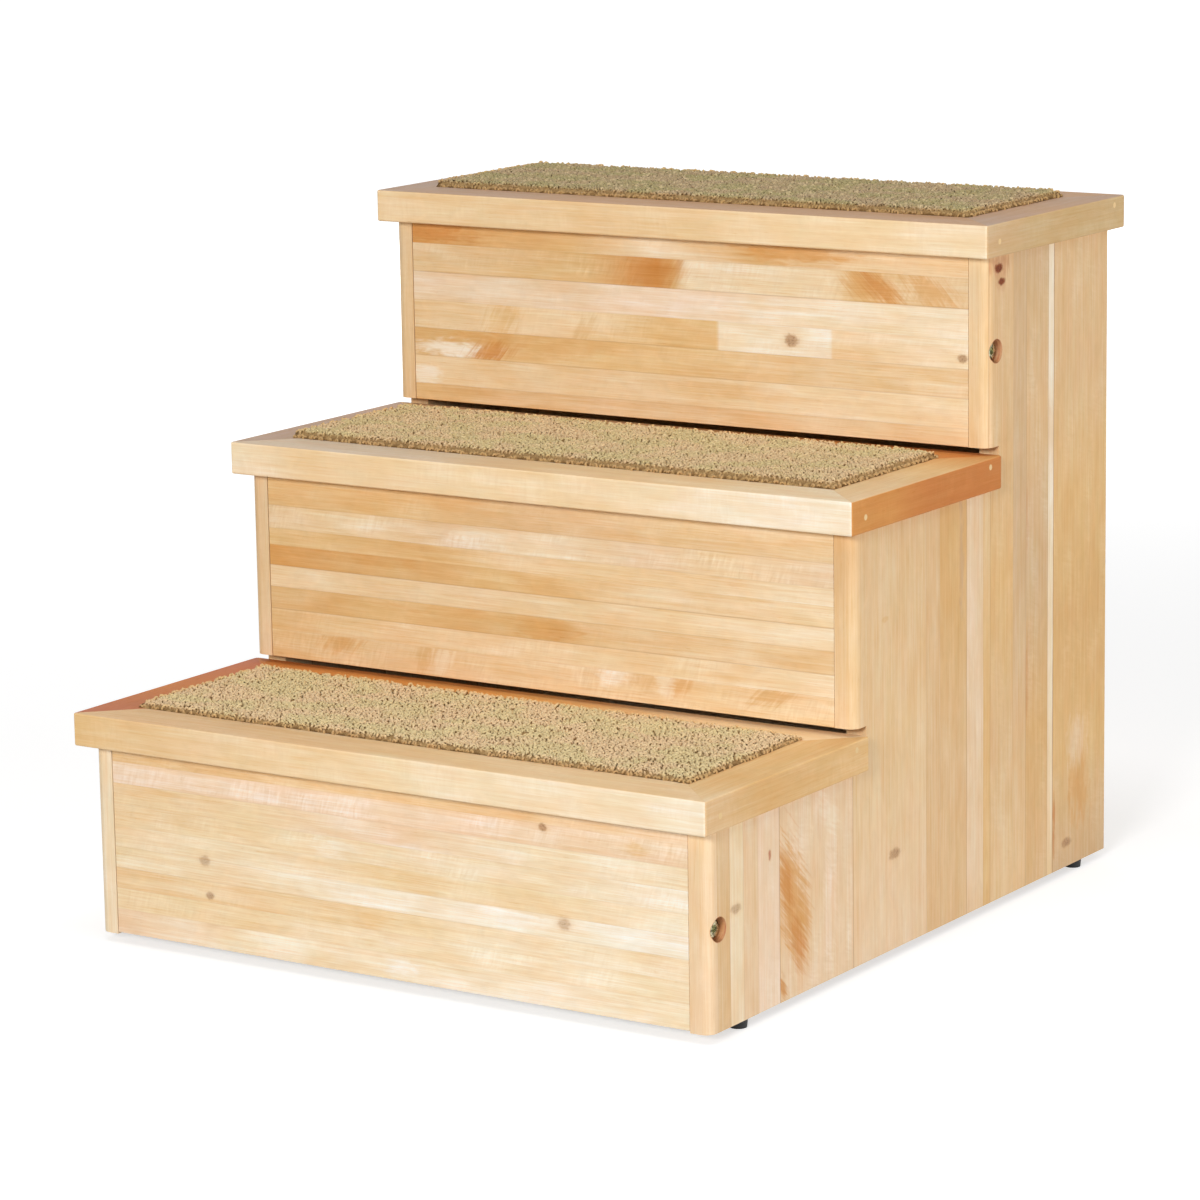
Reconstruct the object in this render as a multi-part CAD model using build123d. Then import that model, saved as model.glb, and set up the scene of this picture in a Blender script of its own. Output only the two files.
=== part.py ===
"""Three-step pet stairs with stepped side panels, risers and carpet-inlaid treads.

Lengths are millimetres. X runs across the stairs, they climb towards +Y, and Z is up.
The origin is on the floor, under the middle of the stairs.
"""

import os

from build123d import *

# Steps
step_names = ("bottom", "middle", "top")
tread_width = 400.0  # across the stairs
tread_depth = 162.0  # front edge to rear edge of one tread
tread_thickness = 18.0
first_rise = 128.0  # floor to the top of the bottom tread
step_rise = 126.0  # each tread above the one before it
step_run = 144.0  # each riser behind the one before it
front_overhang = 10.5  # tread front past the riser
side_overhang = 5.0  # tread end past the side panel
rear_overhang = 12.5  # top tread past the rear of the side panels

# Boards of the body
panel_thickness = 12.0
panel_round = 6.0  # outer front edges
riser_thickness = 18.0
riser_lift = 1.0  # bottom riser and back above the foot of the panels
back_thickness = 12.0
back_inset = 1.0
joint_gap = 0.3  # board end to side panel
arris = 0.5  # sanded edges of the boards

# Slot above each lower tread
pile_gap = 4.0  # tread top to the riser above it
notch_gap = 4.5  # tread rear to the notch's rear wall

# Tread frames
rail_width = 28.0
rabbet_width = 8.0  # ledge that the board lifts against
board_thickness = 12.0
corner_radius = 3.0  # rear corners of a tread
nose_radius = 1.5  # front corners of a tread
edge_easing = 1.0  # outer edges of a tread
mitre_gap = 0.1
inlay_gap = 0.3  # board and carpet to the rails
pile_stand = 2.0  # carpet above the rails
carpet_round = 1.5

# Connecting bolts, through the panels into the risers
bolted_steps = ("bottom", "top")
bolt_radius = 3.0
bolt_head_radius = 5.2
bolt_head_height = 2.2
socket_radius = 2.3  # across the corners of the hexagon
socket_depth = 1.4
counterbore_radius = 6.5
counterbore_depth = 5.2
nut_inset = 30.0  # riser end to the middle of the barrel nut
nut_radius = 5.0
nut_wall = 3.5  # riser left in front of the nut's hole
bolt_tail = 2.0  # bolt past the nut

# Dowels
dowel_radius = 4.0
dowel_in_panel = 8.0
dowel_in_board = 22.0
dowel_spread = 36.0  # from the middle of the riser
dowel_chamfer = 0.8
back_dowel_radius = 3.0
back_dowel_count = 4

# Cleats under the treads, and their screws
cleat_width = 15.0
cleat_height = 15.0
cleat_setback = 12.0  # to the riser in front, and to the back behind the top one
side_screw_share = 0.18  # of the cleat's length, from its middle
tread_screw_share = 0.36
screw_across_share = 0.64  # from the cleat's inner side to the tread board's edge
screw_radius = 1.75
screw_head_radius = 3.5
screw_head_height = 2.4
screw_bite = 9.0  # into the panel or the tread board
recess_width = 0.9  # cross recess in the head
recess_reach = 2.0
recess_depth = 1.5

# Brads in the mitres, each under a spot of filler
brad_radius = 0.6
brad_length = 26.0
brad_inset = 14.0  # from the end of the side rail
front_brad_share = 0.45  # of the tread's thickness, above its underside
rear_brad_share = 0.75
filler_radius = 1.6
filler_depth = 1.2

# Feet
foot_height = 5.0
foot_radius = 5.0
foot_sole_radius = 4.5
front_foot_setback = 36.0
rear_foot_setback = 27.0
nail_radius = 1.0
nail_in_foot = 3.0
nail_in_panel = 12.0

# Room that holes leave, and how far cuts run past a face
hole_gap = 0.1
hole_end_gap = 0.5
overrun = 2.0

# Places worked out from the sizes above
last = len(step_names) - 1
half_width = tread_width / 2
half_depth = (last * step_run + tread_depth) / 2
tread_tops = [first_rise + i * step_rise for i in range(len(step_names))]
undersides = [top - tread_thickness for top in tread_tops]
tread_fronts = [i * step_run - half_depth for i in range(len(step_names))]
tread_rears = [front + tread_depth for front in tread_fronts]
riser_fronts = [front + front_overhang for front in tread_fronts]
riser_lows = [foot_height + riser_lift] + [top + pile_gap for top in tread_tops[:last]]
riser_middles = [(low + high) / 2 for low, high in zip(riser_lows, undersides)]
panel_outer = half_width - side_overhang
panel_inner = panel_outer - panel_thickness
panel_rear = half_depth - rear_overhang
board_end = panel_inner - joint_gap
back_rear = panel_rear - back_inset
back_front = back_rear - back_thickness
foot_x = panel_outer - panel_thickness / 2
foot_ys = {
    "front": riser_fronts[0] + front_foot_setback,
    "rear": panel_rear - rear_foot_setback,
}
notch_depth = tread_rears[0] + notch_gap - riser_fronts[1]  # behind the riser's front
cleat_length = back_front - riser_fronts[last] - riser_thickness - cleat_setback * 2
cleat_middles = [
    front + riser_thickness + cleat_setback + cleat_length / 2 for front in riser_fronts
]
cleat_inner = panel_inner - cleat_width
board_inset = rail_width - rabbet_width + inlay_gap
board_edge = half_width - board_inset
tread_screw_x = cleat_inner + screw_across_share * (board_edge - cleat_inner)
sides = {"left": -1, "right": 1}


def block(x, y, z):
    """A box between two values of x, two of y and two of z."""
    size = [high - low for low, high in (x, y, z)]
    middle = [(low + high) / 2 for low, high in (x, y, z)]
    return Pos(*middle) * Box(*size)


def rod(start, end, radius, end_radius=None):
    """A round bar from one point to another, tapered if it has an end radius."""
    line = Vector(*end) - Vector(*start)
    place = Plane(origin=start, z_dir=line)
    foot = (Align.CENTER, Align.CENTER, Align.MIN)
    if end_radius is None:
        return place * Cylinder(radius, line.length, align=foot)
    return place * Cone(radius, end_radius, line.length, align=foot)


def prism(points, low, high):
    """A flat outline in X and Y, raised from one height to another."""
    outline = make_face(Polyline(*points, close=True))
    return Pos(0, 0, low) * extrude(outline, high - low)


def across(solid, side):
    """A solid made for the right-hand side, or its mirror image for the left."""
    return solid if side > 0 else mirror(solid, about=Plane.YZ)


def both_sides(solids):
    """Right-hand solids and their mirror images."""
    return [across(solid, side) for side in sides.values() for solid in solids]


def sanded(board, radius):
    """A board with all its edges rounded a little."""
    return fillet(board.edges(), radius)


# Bolts and barrel nuts


def bolt_places():
    """Y and Z of each connecting bolt in a side panel."""
    return [
        (riser_fronts[i] + riser_thickness / 2, riser_middles[i])
        for i, name in enumerate(step_names)
        if name in bolted_steps
    ]


bolt_seat = panel_outer - counterbore_depth
nut_x = board_end - nut_inset
bolt_end = nut_x - nut_radius - bolt_tail


def bolt(y, z):
    """A dome-headed bolt with a hexagon socket, its head in the panel's counterbore."""
    crown = bolt_seat + bolt_head_height
    head = rod((bolt_seat, y, z), (crown, y, z), bolt_head_radius)
    head = fillet(head.edges().group_by(Axis.X)[-1], bolt_head_height / 2)
    hexagon = Plane(origin=(crown, y, z), z_dir=(-1, 0, 0)) * RegularPolygon(socket_radius, 6)
    head -= extrude(hexagon, socket_depth)
    return head + rod((bolt_end, y, z), (bolt_seat, y, z), bolt_radius)


def bolt_holes():
    """The holes and counterbores that the bolts need in the right-hand panel."""
    holes = []
    for y, z in bolt_places():
        holes.append(rod((panel_inner - overrun, y, z), (panel_outer, y, z), bolt_radius + hole_gap))
        holes.append(rod((bolt_seat, y, z), (panel_outer + overrun, y, z), counterbore_radius))
    return holes


def barrel_nut(y, z):
    """A cross dowel in the riser, with the bolt's hole through it."""
    front = y - riser_thickness / 2 + nut_wall + hole_end_gap
    rear = y + riser_thickness / 2 - hole_end_gap
    nut = rod((nut_x, front, z), (nut_x, rear, z), nut_radius)
    nut = chamfer(nut.edges().filter_by(GeomType.CIRCLE), arris)
    return nut - rod((nut_x - nut_inset, y, z), (nut_x + nut_inset, y, z), bolt_radius + hole_gap)


def nut_holes(y, z):
    """The bolt's hole in the end of a riser and the nut's hole in its rear face."""
    front = y - riser_thickness / 2 + nut_wall
    rear = y + riser_thickness / 2 + overrun
    nut = rod((nut_x, front, z), (nut_x, rear, z), nut_radius + hole_gap)
    end = bolt_end - hole_end_gap
    return [nut, rod((end, y, z), (board_end + overrun, y, z), bolt_radius + hole_gap)]


# Dowels


def riser_dowel_places(i):
    """Y and Z of the dowels in one end of a riser, clear of its bolt."""
    offsets = [-dowel_spread, dowel_spread]
    if step_names[i] not in bolted_steps:
        offsets.append(0)
    return [(riser_fronts[i] + riser_thickness / 2, riser_middles[i] + z) for z in offsets]


def back_dowel_places():
    """Y and Z of the dowels in one edge of the back."""
    height = undersides[last] - riser_lows[0]
    pitch = height / back_dowel_count
    y = back_front + back_thickness / 2
    return [(y, riser_lows[0] + pitch * (n + 1 / 2)) for n in range(back_dowel_count)]


def dowel(y, z, radius):
    """A wooden dowel from a side panel into the end of a board."""
    start, end = panel_inner + dowel_in_panel, board_end - dowel_in_board
    pin = rod((end, y, z), (start, y, z), radius)
    return chamfer(pin.edges().filter_by(GeomType.CIRCLE), dowel_chamfer)


def dowel_hole(y, z, radius):
    """The hole for a dowel, in the panel and the board together."""
    start, end = panel_inner + dowel_in_panel, board_end - dowel_in_board
    return rod((end - hole_end_gap, y, z), (start + hole_end_gap, y, z), radius + hole_gap)


def dowel_holes():
    """Every dowel hole in the right-hand panel and the boards that end on it."""
    holes = [dowel_hole(y, z, back_dowel_radius) for y, z in back_dowel_places()]
    for i in range(len(step_names)):
        holes += [dowel_hole(y, z, dowel_radius) for y, z in riser_dowel_places(i)]
    return holes


# Cleats and screws


def cleat_offsets(share):
    """Two places along a cleat, each side of its middle."""
    return [-share * cleat_length, share * cleat_length]


def side_screw_line(i, offset):
    """Head and tip of a screw through a cleat into the right-hand panel."""
    y, z = cleat_middles[i] + offset, undersides[i] - cleat_height / 2
    return (cleat_inner, y, z), (panel_inner + screw_bite, y, z)


def tread_screw_line(i, offset):
    """Head and tip of a screw up through a cleat into the tread board."""
    x, y, z = tread_screw_x, cleat_middles[i] + offset, undersides[i]
    return (x, y, z - cleat_height), (x, y, z + screw_bite)


def side_screw_lines():
    """Every screw into the right-hand panel."""
    offsets = cleat_offsets(side_screw_share)
    return [side_screw_line(i, offset) for i in range(len(step_names)) for offset in offsets]


def tread_screw_lines(i):
    """Every screw up into the right-hand end of a tread."""
    return [tread_screw_line(i, offset) for offset in cleat_offsets(tread_screw_share)]


def screw(start, end):
    """A countersunk wood screw with a cross recess, its head flush at the start."""
    along = (Vector(*end) - Vector(*start)).normalized()
    neck = Vector(*start) + along * screw_head_height
    tip = Vector(*end) - along * screw_radius * 2
    solid = rod(start, neck, screw_head_radius, screw_radius)
    solid += rod(neck, tip, screw_radius)
    solid += rod(tip, end, screw_radius, screw_radius / 4)
    face = Plane(origin=start, z_dir=along)
    bar = extrude(face * Rectangle(recess_reach * 2, recess_width), recess_depth)
    bar += extrude(face * Rectangle(recess_width, recess_reach * 2), recess_depth)
    return solid - bar


def screw_hole(start, end):
    """The countersunk hole that a screw needs."""
    along = (Vector(*end) - Vector(*start)).normalized()
    out = Vector(*start) - along * overrun
    neck = Vector(*start) + along * (screw_head_height + hole_gap)
    bottom = Vector(*end) + along * hole_end_gap
    hole = rod(start, neck, screw_head_radius + hole_gap, screw_radius + hole_gap)
    hole += rod(out, start, screw_head_radius + hole_gap)
    return hole + rod(neck, bottom, screw_radius + hole_gap)


def cleat(i):
    """A right-hand cleat, with its countersunk holes."""
    y = cleat_middles[i]
    bar = block(
        (cleat_inner, panel_inner),
        (y - cleat_length / 2, y + cleat_length / 2),
        (undersides[i] - cleat_height, undersides[i]),
    )
    bar = sanded(bar, arris)
    lines = [side_screw_line(i, offset) for offset in cleat_offsets(side_screw_share)]
    for start, end in lines + tread_screw_lines(i):
        bar -= screw_hole(start, end)
    return bar


# Feet


def foot(end):
    """A right-hand foot, drilled from above for its nail."""
    y = foot_ys[end]
    stud = rod((foot_x, y, 0), (foot_x, y, foot_height), foot_sole_radius, foot_radius)
    low = foot_height - nail_in_foot - hole_gap
    return stud - rod((foot_x, y, low), (foot_x, y, foot_height + overrun), nail_radius + hole_gap)


def foot_nail(end):
    """The nail from a right-hand foot up into the panel."""
    y = foot_ys[end]
    low, high = foot_height - nail_in_foot, foot_height + nail_in_panel
    shank = rod((foot_x, y, low), (foot_x, y, high - nail_radius * 2), nail_radius)
    return shank + rod(
        (foot_x, y, high - nail_radius * 2), (foot_x, y, high), nail_radius, nail_radius / 4
    )


def foot_nail_hole(end):
    """The nail's hole in the bottom edge of the panel."""
    y = foot_ys[end]
    high = foot_height + nail_in_panel + hole_end_gap
    return rod((foot_x, y, foot_height - overrun), (foot_x, y, high), nail_radius + hole_gap)


# Boards of the body


def panel_outline():
    """Points of the stepped side panel, in Y and Z, with the notches that take the treads."""
    points = [(riser_fronts[0], foot_height)]
    for i in range(last):
        above = riser_fronts[i + 1]
        slot_top = tread_tops[i] + pile_gap
        points += [
            (riser_fronts[i], undersides[i]),
            (above + notch_depth, undersides[i]),
            (above + notch_depth, slot_top),
            (above, slot_top),
        ]
    points += [
        (riser_fronts[last], undersides[last]),
        (panel_rear, undersides[last]),
        (panel_rear, foot_height),
    ]
    return points


def outer_front_edges(panel):
    """The upright edges of the panel's outer face that stand in line with a riser."""
    upright = panel.edges().filter_by(Axis.Z).group_by(Axis.X)[-1]
    return [
        edge
        for edge in upright
        if min(abs(edge.center().Y - front) for front in riser_fronts) < joint_gap
    ]


def side_panel():
    """The right-hand side panel, with every hole that the fixings need."""
    points = [(panel_inner, y, z) for y, z in panel_outline()]
    panel = extrude(make_face(Polyline(*points, close=True)), panel_thickness, dir=(1, 0, 0))
    panel = fillet(outer_front_edges(panel), min(panel_round, panel_thickness - arris))
    holes = bolt_holes() + dowel_holes()
    holes += [screw_hole(*line) for line in side_screw_lines()]
    holes += [foot_nail_hole(end) for end in foot_ys]
    return panel - holes


def riser(i):
    """A riser between the side panels, drilled for its dowels, bolts and barrel nuts."""
    front = riser_fronts[i]
    board = block(
        (-board_end, board_end), (front, front + riser_thickness), (riser_lows[i], undersides[i])
    )
    board = sanded(board, arris)
    holes = [dowel_hole(y, z, dowel_radius) for y, z in riser_dowel_places(i)]
    if step_names[i] in bolted_steps:
        holes += nut_holes(front + riser_thickness / 2, riser_middles[i])
    return board - both_sides(holes)


def back_panel():
    """The board that closes the rear between the side panels."""
    board = block(
        (-board_end, board_end), (back_front, back_rear), (riser_lows[0], undersides[last])
    )
    board = sanded(board, arris)
    holes = [dowel_hole(y, z, back_dowel_radius) for y, z in back_dowel_places()]
    return board - both_sides(holes)


# Treads


def tread_blank(i):
    """A whole tread frame before it is parted at the mitres."""
    x = (-half_width, half_width)
    y = (tread_fronts[i], tread_rears[i])
    frame = block(x, y, (undersides[i], tread_tops[i]))
    uprights = frame.edges().filter_by(Axis.Z).group_by(Axis.Y)
    frame = fillet(uprights[0], nose_radius)
    uprights = frame.edges().filter_by(Axis.Z).group_by(Axis.Y)
    frame = fillet(uprights[-1], corner_radius)
    rims = frame.edges().group_by(Axis.Z)
    frame = fillet(rims[0] + rims[-1], min(edge_easing, nose_radius - hole_gap))
    through = (undersides[i] - overrun, tread_tops[i] + overrun)
    frame -= block(*inner_edges(i, rail_width), through)
    ledge = (undersides[i] - overrun, undersides[i] + board_thickness)
    return frame - block(*inner_edges(i, rail_width - rabbet_width), ledge)


def inner_edges(i, inset):
    """The x and y ranges of a rectangle inside a tread, at an inset from its edges."""
    x = (inset - half_width, half_width - inset)
    return x, (tread_fronts[i] + inset, tread_rears[i] - inset)


def mitre_wedge(i, name):
    """The part of a tread's plan that one rail fills, out to the mitres at its ends."""
    gap = mitre_gap / 2
    front, rear = tread_fronts[i], tread_rears[i]
    out, reach = half_width, rail_width + overrun
    if name in sides:
        ends = [(out, front + gap), (out, rear - gap)]
        inner = [(out - reach, rear - gap - reach), (out - reach, front + gap + reach)]
        points = [(sides[name] * x, y) for x, y in ends + inner]
    else:
        edge, inward = (front, 1) if name == "front" else (rear, -1)
        inner_y = edge + inward * reach
        points = [
            (gap - out, edge),
            (out - gap, edge),
            (out - gap - reach, inner_y),
            (gap - out + reach, inner_y),
        ]
    return prism(points, undersides[i] - overrun, tread_tops[i] + overrun)


def brad_lines(i):
    """Head and tip of each brad through a right-hand mitre, from the side rail's face."""
    head = half_width - filler_depth
    tip = head - brad_length
    places = [
        (tread_fronts[i] + brad_inset, undersides[i] + tread_thickness * front_brad_share),
        (tread_rears[i] - brad_inset, undersides[i] + tread_thickness * rear_brad_share),
    ]
    return [((head, y, z), (tip, y, z)) for y, z in places]


def brad(start, end):
    """A headless brad."""
    return rod(start, end, brad_radius)


def filler(start, end):
    """The spot of filler over a brad, flush with the rail."""
    return rod(start, (half_width, *start[1:]), filler_radius)


def brad_hole(start, end):
    """The hole for a brad and its filler."""
    tip = (end[0] - hole_end_gap, *end[1:])
    shaft = rod(start, tip, brad_radius + hole_gap)
    return shaft + rod(start, (half_width + overrun, *start[1:]), filler_radius)


def tread_rails(i):
    """The four mitred rails of a tread, by name."""
    blank = tread_blank(i)
    holes = [brad_hole(*line) for line in brad_lines(i)]
    holes += [screw_hole(*line) for line in tread_screw_lines(i)]
    blank -= both_sides(holes)
    return {name: blank & mitre_wedge(i, name) for name in ("front", "rear", *sides)}


def tread_board(i):
    """The board under the carpet, lifted into the rabbets of the rails."""
    edges = inner_edges(i, board_inset)
    board = block(*edges, (undersides[i], undersides[i] + board_thickness))
    return board - both_sides([screw_hole(*line) for line in tread_screw_lines(i)])


def carpet(i):
    """The carpet inlay, from the board to just above the rails."""
    edges = inner_edges(i, rail_width + inlay_gap)
    low = undersides[i] + board_thickness
    pad = block(*edges, (low, tread_tops[i] + pile_stand))
    return fillet(pad.edges().group_by(Axis.Z)[-1], min(carpet_round, pile_stand))


# Writing the pieces


def fixings():
    """Groups of like fixings, each group one node."""
    steps = range(len(step_names))
    dowels = [dowel(y, z, dowel_radius) for i in steps for y, z in riser_dowel_places(i)]
    backs = [dowel(y, z, back_dowel_radius) for y, z in back_dowel_places()]
    treads = [screw(*line) for i in steps for line in tread_screw_lines(i)]
    brads = [line for i in steps for line in brad_lines(i)]
    groups = {
        "riser_bolts": [bolt(y, z) for y, z in bolt_places()],
        "barrel_nuts": [barrel_nut(y, z) for y, z in bolt_places()],
        "riser_dowels": dowels,
        "back_dowels": backs,
        "cleat_screws": [screw(*line) for line in side_screw_lines()],
        "tread_screws": treads,
        "tread_brads": [brad(*line) for line in brads],
        "brad_fillers": [filler(*line) for line in brads],
        "foot_nails": [foot_nail(end) for end in foot_ys],
    }
    return {name: Compound(children=both_sides(solids)) for name, solids in groups.items()}


def pieces():
    """Every node of the stairs, by name."""
    made = {"back_panel": back_panel()}
    panel = side_panel()
    for side, sign in sides.items():
        made[f"{side}_side_panel"] = across(panel, sign)
        for end in foot_ys:
            made[f"{end}_{side}_foot"] = across(foot(end), sign)
    for i, step in enumerate(step_names):
        made[f"{step}_riser"] = riser(i)
        made[f"{step}_tread_board"] = tread_board(i)
        made[f"{step}_carpet"] = carpet(i)
        for name, rail in tread_rails(i).items():
            made[f"{step}_{name}_rail"] = rail
        for side, sign in sides.items():
            made[f"{step}_{side}_cleat"] = across(cleat(i), sign)
    return made | fixings()


os.makedirs("parts", exist_ok=True)
for name, solid in pieces().items():
    export_step(solid, f"parts/{name}.step")
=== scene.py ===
"""Looks for the three-step pet stairs: glued-stave wood, loop-pile carpet and plain studio light.

Blender works in metres, and so do the meshes here. Patterns in the wood are written in
millimetres, measured along and across each board, because that is how a joiner reads them.
"""

import logging
import math
from dataclasses import dataclass, field
from enum import Enum
from typing import Any, Mapping, Sequence

import bmesh
import bpy
from mathutils import Matrix, Vector


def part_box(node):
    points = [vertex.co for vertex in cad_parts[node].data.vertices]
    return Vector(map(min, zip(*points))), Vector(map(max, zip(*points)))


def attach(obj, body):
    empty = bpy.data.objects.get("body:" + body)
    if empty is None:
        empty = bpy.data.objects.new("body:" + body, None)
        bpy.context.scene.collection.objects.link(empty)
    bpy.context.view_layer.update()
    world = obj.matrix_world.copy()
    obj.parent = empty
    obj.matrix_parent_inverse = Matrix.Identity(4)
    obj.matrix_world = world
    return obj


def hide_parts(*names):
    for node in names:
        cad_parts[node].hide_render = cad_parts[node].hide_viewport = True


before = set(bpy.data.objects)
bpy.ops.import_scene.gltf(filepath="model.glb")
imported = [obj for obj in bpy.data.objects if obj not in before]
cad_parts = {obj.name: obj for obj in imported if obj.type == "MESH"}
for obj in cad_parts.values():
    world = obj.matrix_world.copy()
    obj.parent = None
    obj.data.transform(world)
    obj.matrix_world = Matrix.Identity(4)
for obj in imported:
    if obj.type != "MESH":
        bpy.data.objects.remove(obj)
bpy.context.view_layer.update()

log = logging.getLogger("pet_stairs")

Rgb = tuple[int, int, int]
Size = tuple[float, float, float]

MM = 0.001
BODY = "root"
STEPS = ("bottom", "middle", "top")
SIDES = ("left", "right")
WHITE = (1.0, 1.0, 1.0, 1.0)


# Colours


def linear(rgb: Sequence[float]) -> tuple[float, float, float, float]:
    """Turn a display colour into a socket's linear values, by the sRGB curve.

    Args:
        rgb: Red, green and blue, each 0 to 255.

    Returns:
        Linear red, green and blue, and an alpha of 1.
    """
    shares = [value / 255 for value in rgb]
    curve = [s / 12.92 if s <= 0.04045 else ((s + 0.055) / 1.055) ** 2.4 for s in shares]
    return (curve[0], curve[1], curve[2], 1.0)


class Tone(Enum):
    """Named wood colours, from sapwood to heartwood."""

    MILK = (252, 236, 212)
    CREAM = (250, 229, 197)
    PALE = (247, 220, 180)
    BUTTER = (244, 212, 165)
    PINK = (246, 214, 179)
    ROSE = (240, 206, 165)
    PEACH = (242, 206, 157)
    SAND = (237, 200, 150)
    TAN = (230, 190, 140)
    GREY_TAN = (220, 183, 138)
    HONEY = (232, 188, 128)
    OCHRE = (226, 180, 120)
    ORANGE = (221, 160, 90)
    AMBER = (213, 143, 74)
    CHESTNUT = (202, 124, 62)
    RUSSET = (190, 112, 78)
    UMBER = (202, 160, 122)
    # Greyed tone that paints shade on the upward faces of the upper treads.
    MAUVE_SHADE = (192, 160, 134)
    OLIVE = (210, 174, 122)
    JOINT = (176, 120, 72)
    # Wall of a bolt hole: partly drilled grain, partly painted shade in the hole.
    BORE_WALL_AND_SHADE = (214, 160, 114)
    KNOT = (190, 146, 106)
    KNOT_RIM = (134, 92, 58)
    KNOT_RED = (146, 74, 34)
    KNOT_DARK = (84, 34, 18)
    PLY = (222, 190, 142)
    ASH = (220, 194, 162)
    FILLER = (236, 202, 146)

    @property
    def colour(self) -> tuple[float, float, float, float]:
        """The tone as a socket's linear colour."""
        return linear(self.value)


# Node building


@dataclass(frozen=True)
class Signal:
    """A socket that can stand in a sum, so that shader maths reads as plain maths.

    Attributes:
        graph: The graph that its sums are made in.
        socket: The output socket.
    """

    graph: "Graph"
    socket: Any

    def __add__(self, other: "Term") -> "Signal":
        """Add a value."""
        return self.graph.math("ADD", self, other)

    def __radd__(self, other: "Term") -> "Signal":
        """Add to a value."""
        return self.graph.math("ADD", other, self)

    def __sub__(self, other: "Term") -> "Signal":
        """Take a value away."""
        return self.graph.math("SUBTRACT", self, other)

    def __rsub__(self, other: "Term") -> "Signal":
        """Take this away from a value."""
        return self.graph.math("SUBTRACT", other, self)

    def __mul__(self, other: "Term") -> "Signal":
        """Multiply by a value."""
        return self.graph.math("MULTIPLY", self, other)

    def __rmul__(self, other: "Term") -> "Signal":
        """Multiply a value by this."""
        return self.graph.math("MULTIPLY", other, self)

    def __truediv__(self, other: "Term") -> "Signal":
        """Divide by a value."""
        return self.graph.math("DIVIDE", self, other)

    def __rtruediv__(self, other: "Term") -> "Signal":
        """Divide a value by this."""
        return self.graph.math("DIVIDE", other, self)

    def __pow__(self, other: "Term") -> "Signal":
        """Raise to a power."""
        return self.graph.math("POWER", self, other)

    def __gt__(self, other: "Term") -> "Signal":
        """Give 1 where this is greater, else 0."""
        return self.graph.math("GREATER_THAN", self, other)


Term = Signal | float


def power(value: Signal, exponent: float) -> Signal:
    """Raise the size of a value to a power, so that one below zero counts as well."""
    return value.graph.math("ABSOLUTE", value) ** exponent


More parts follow.
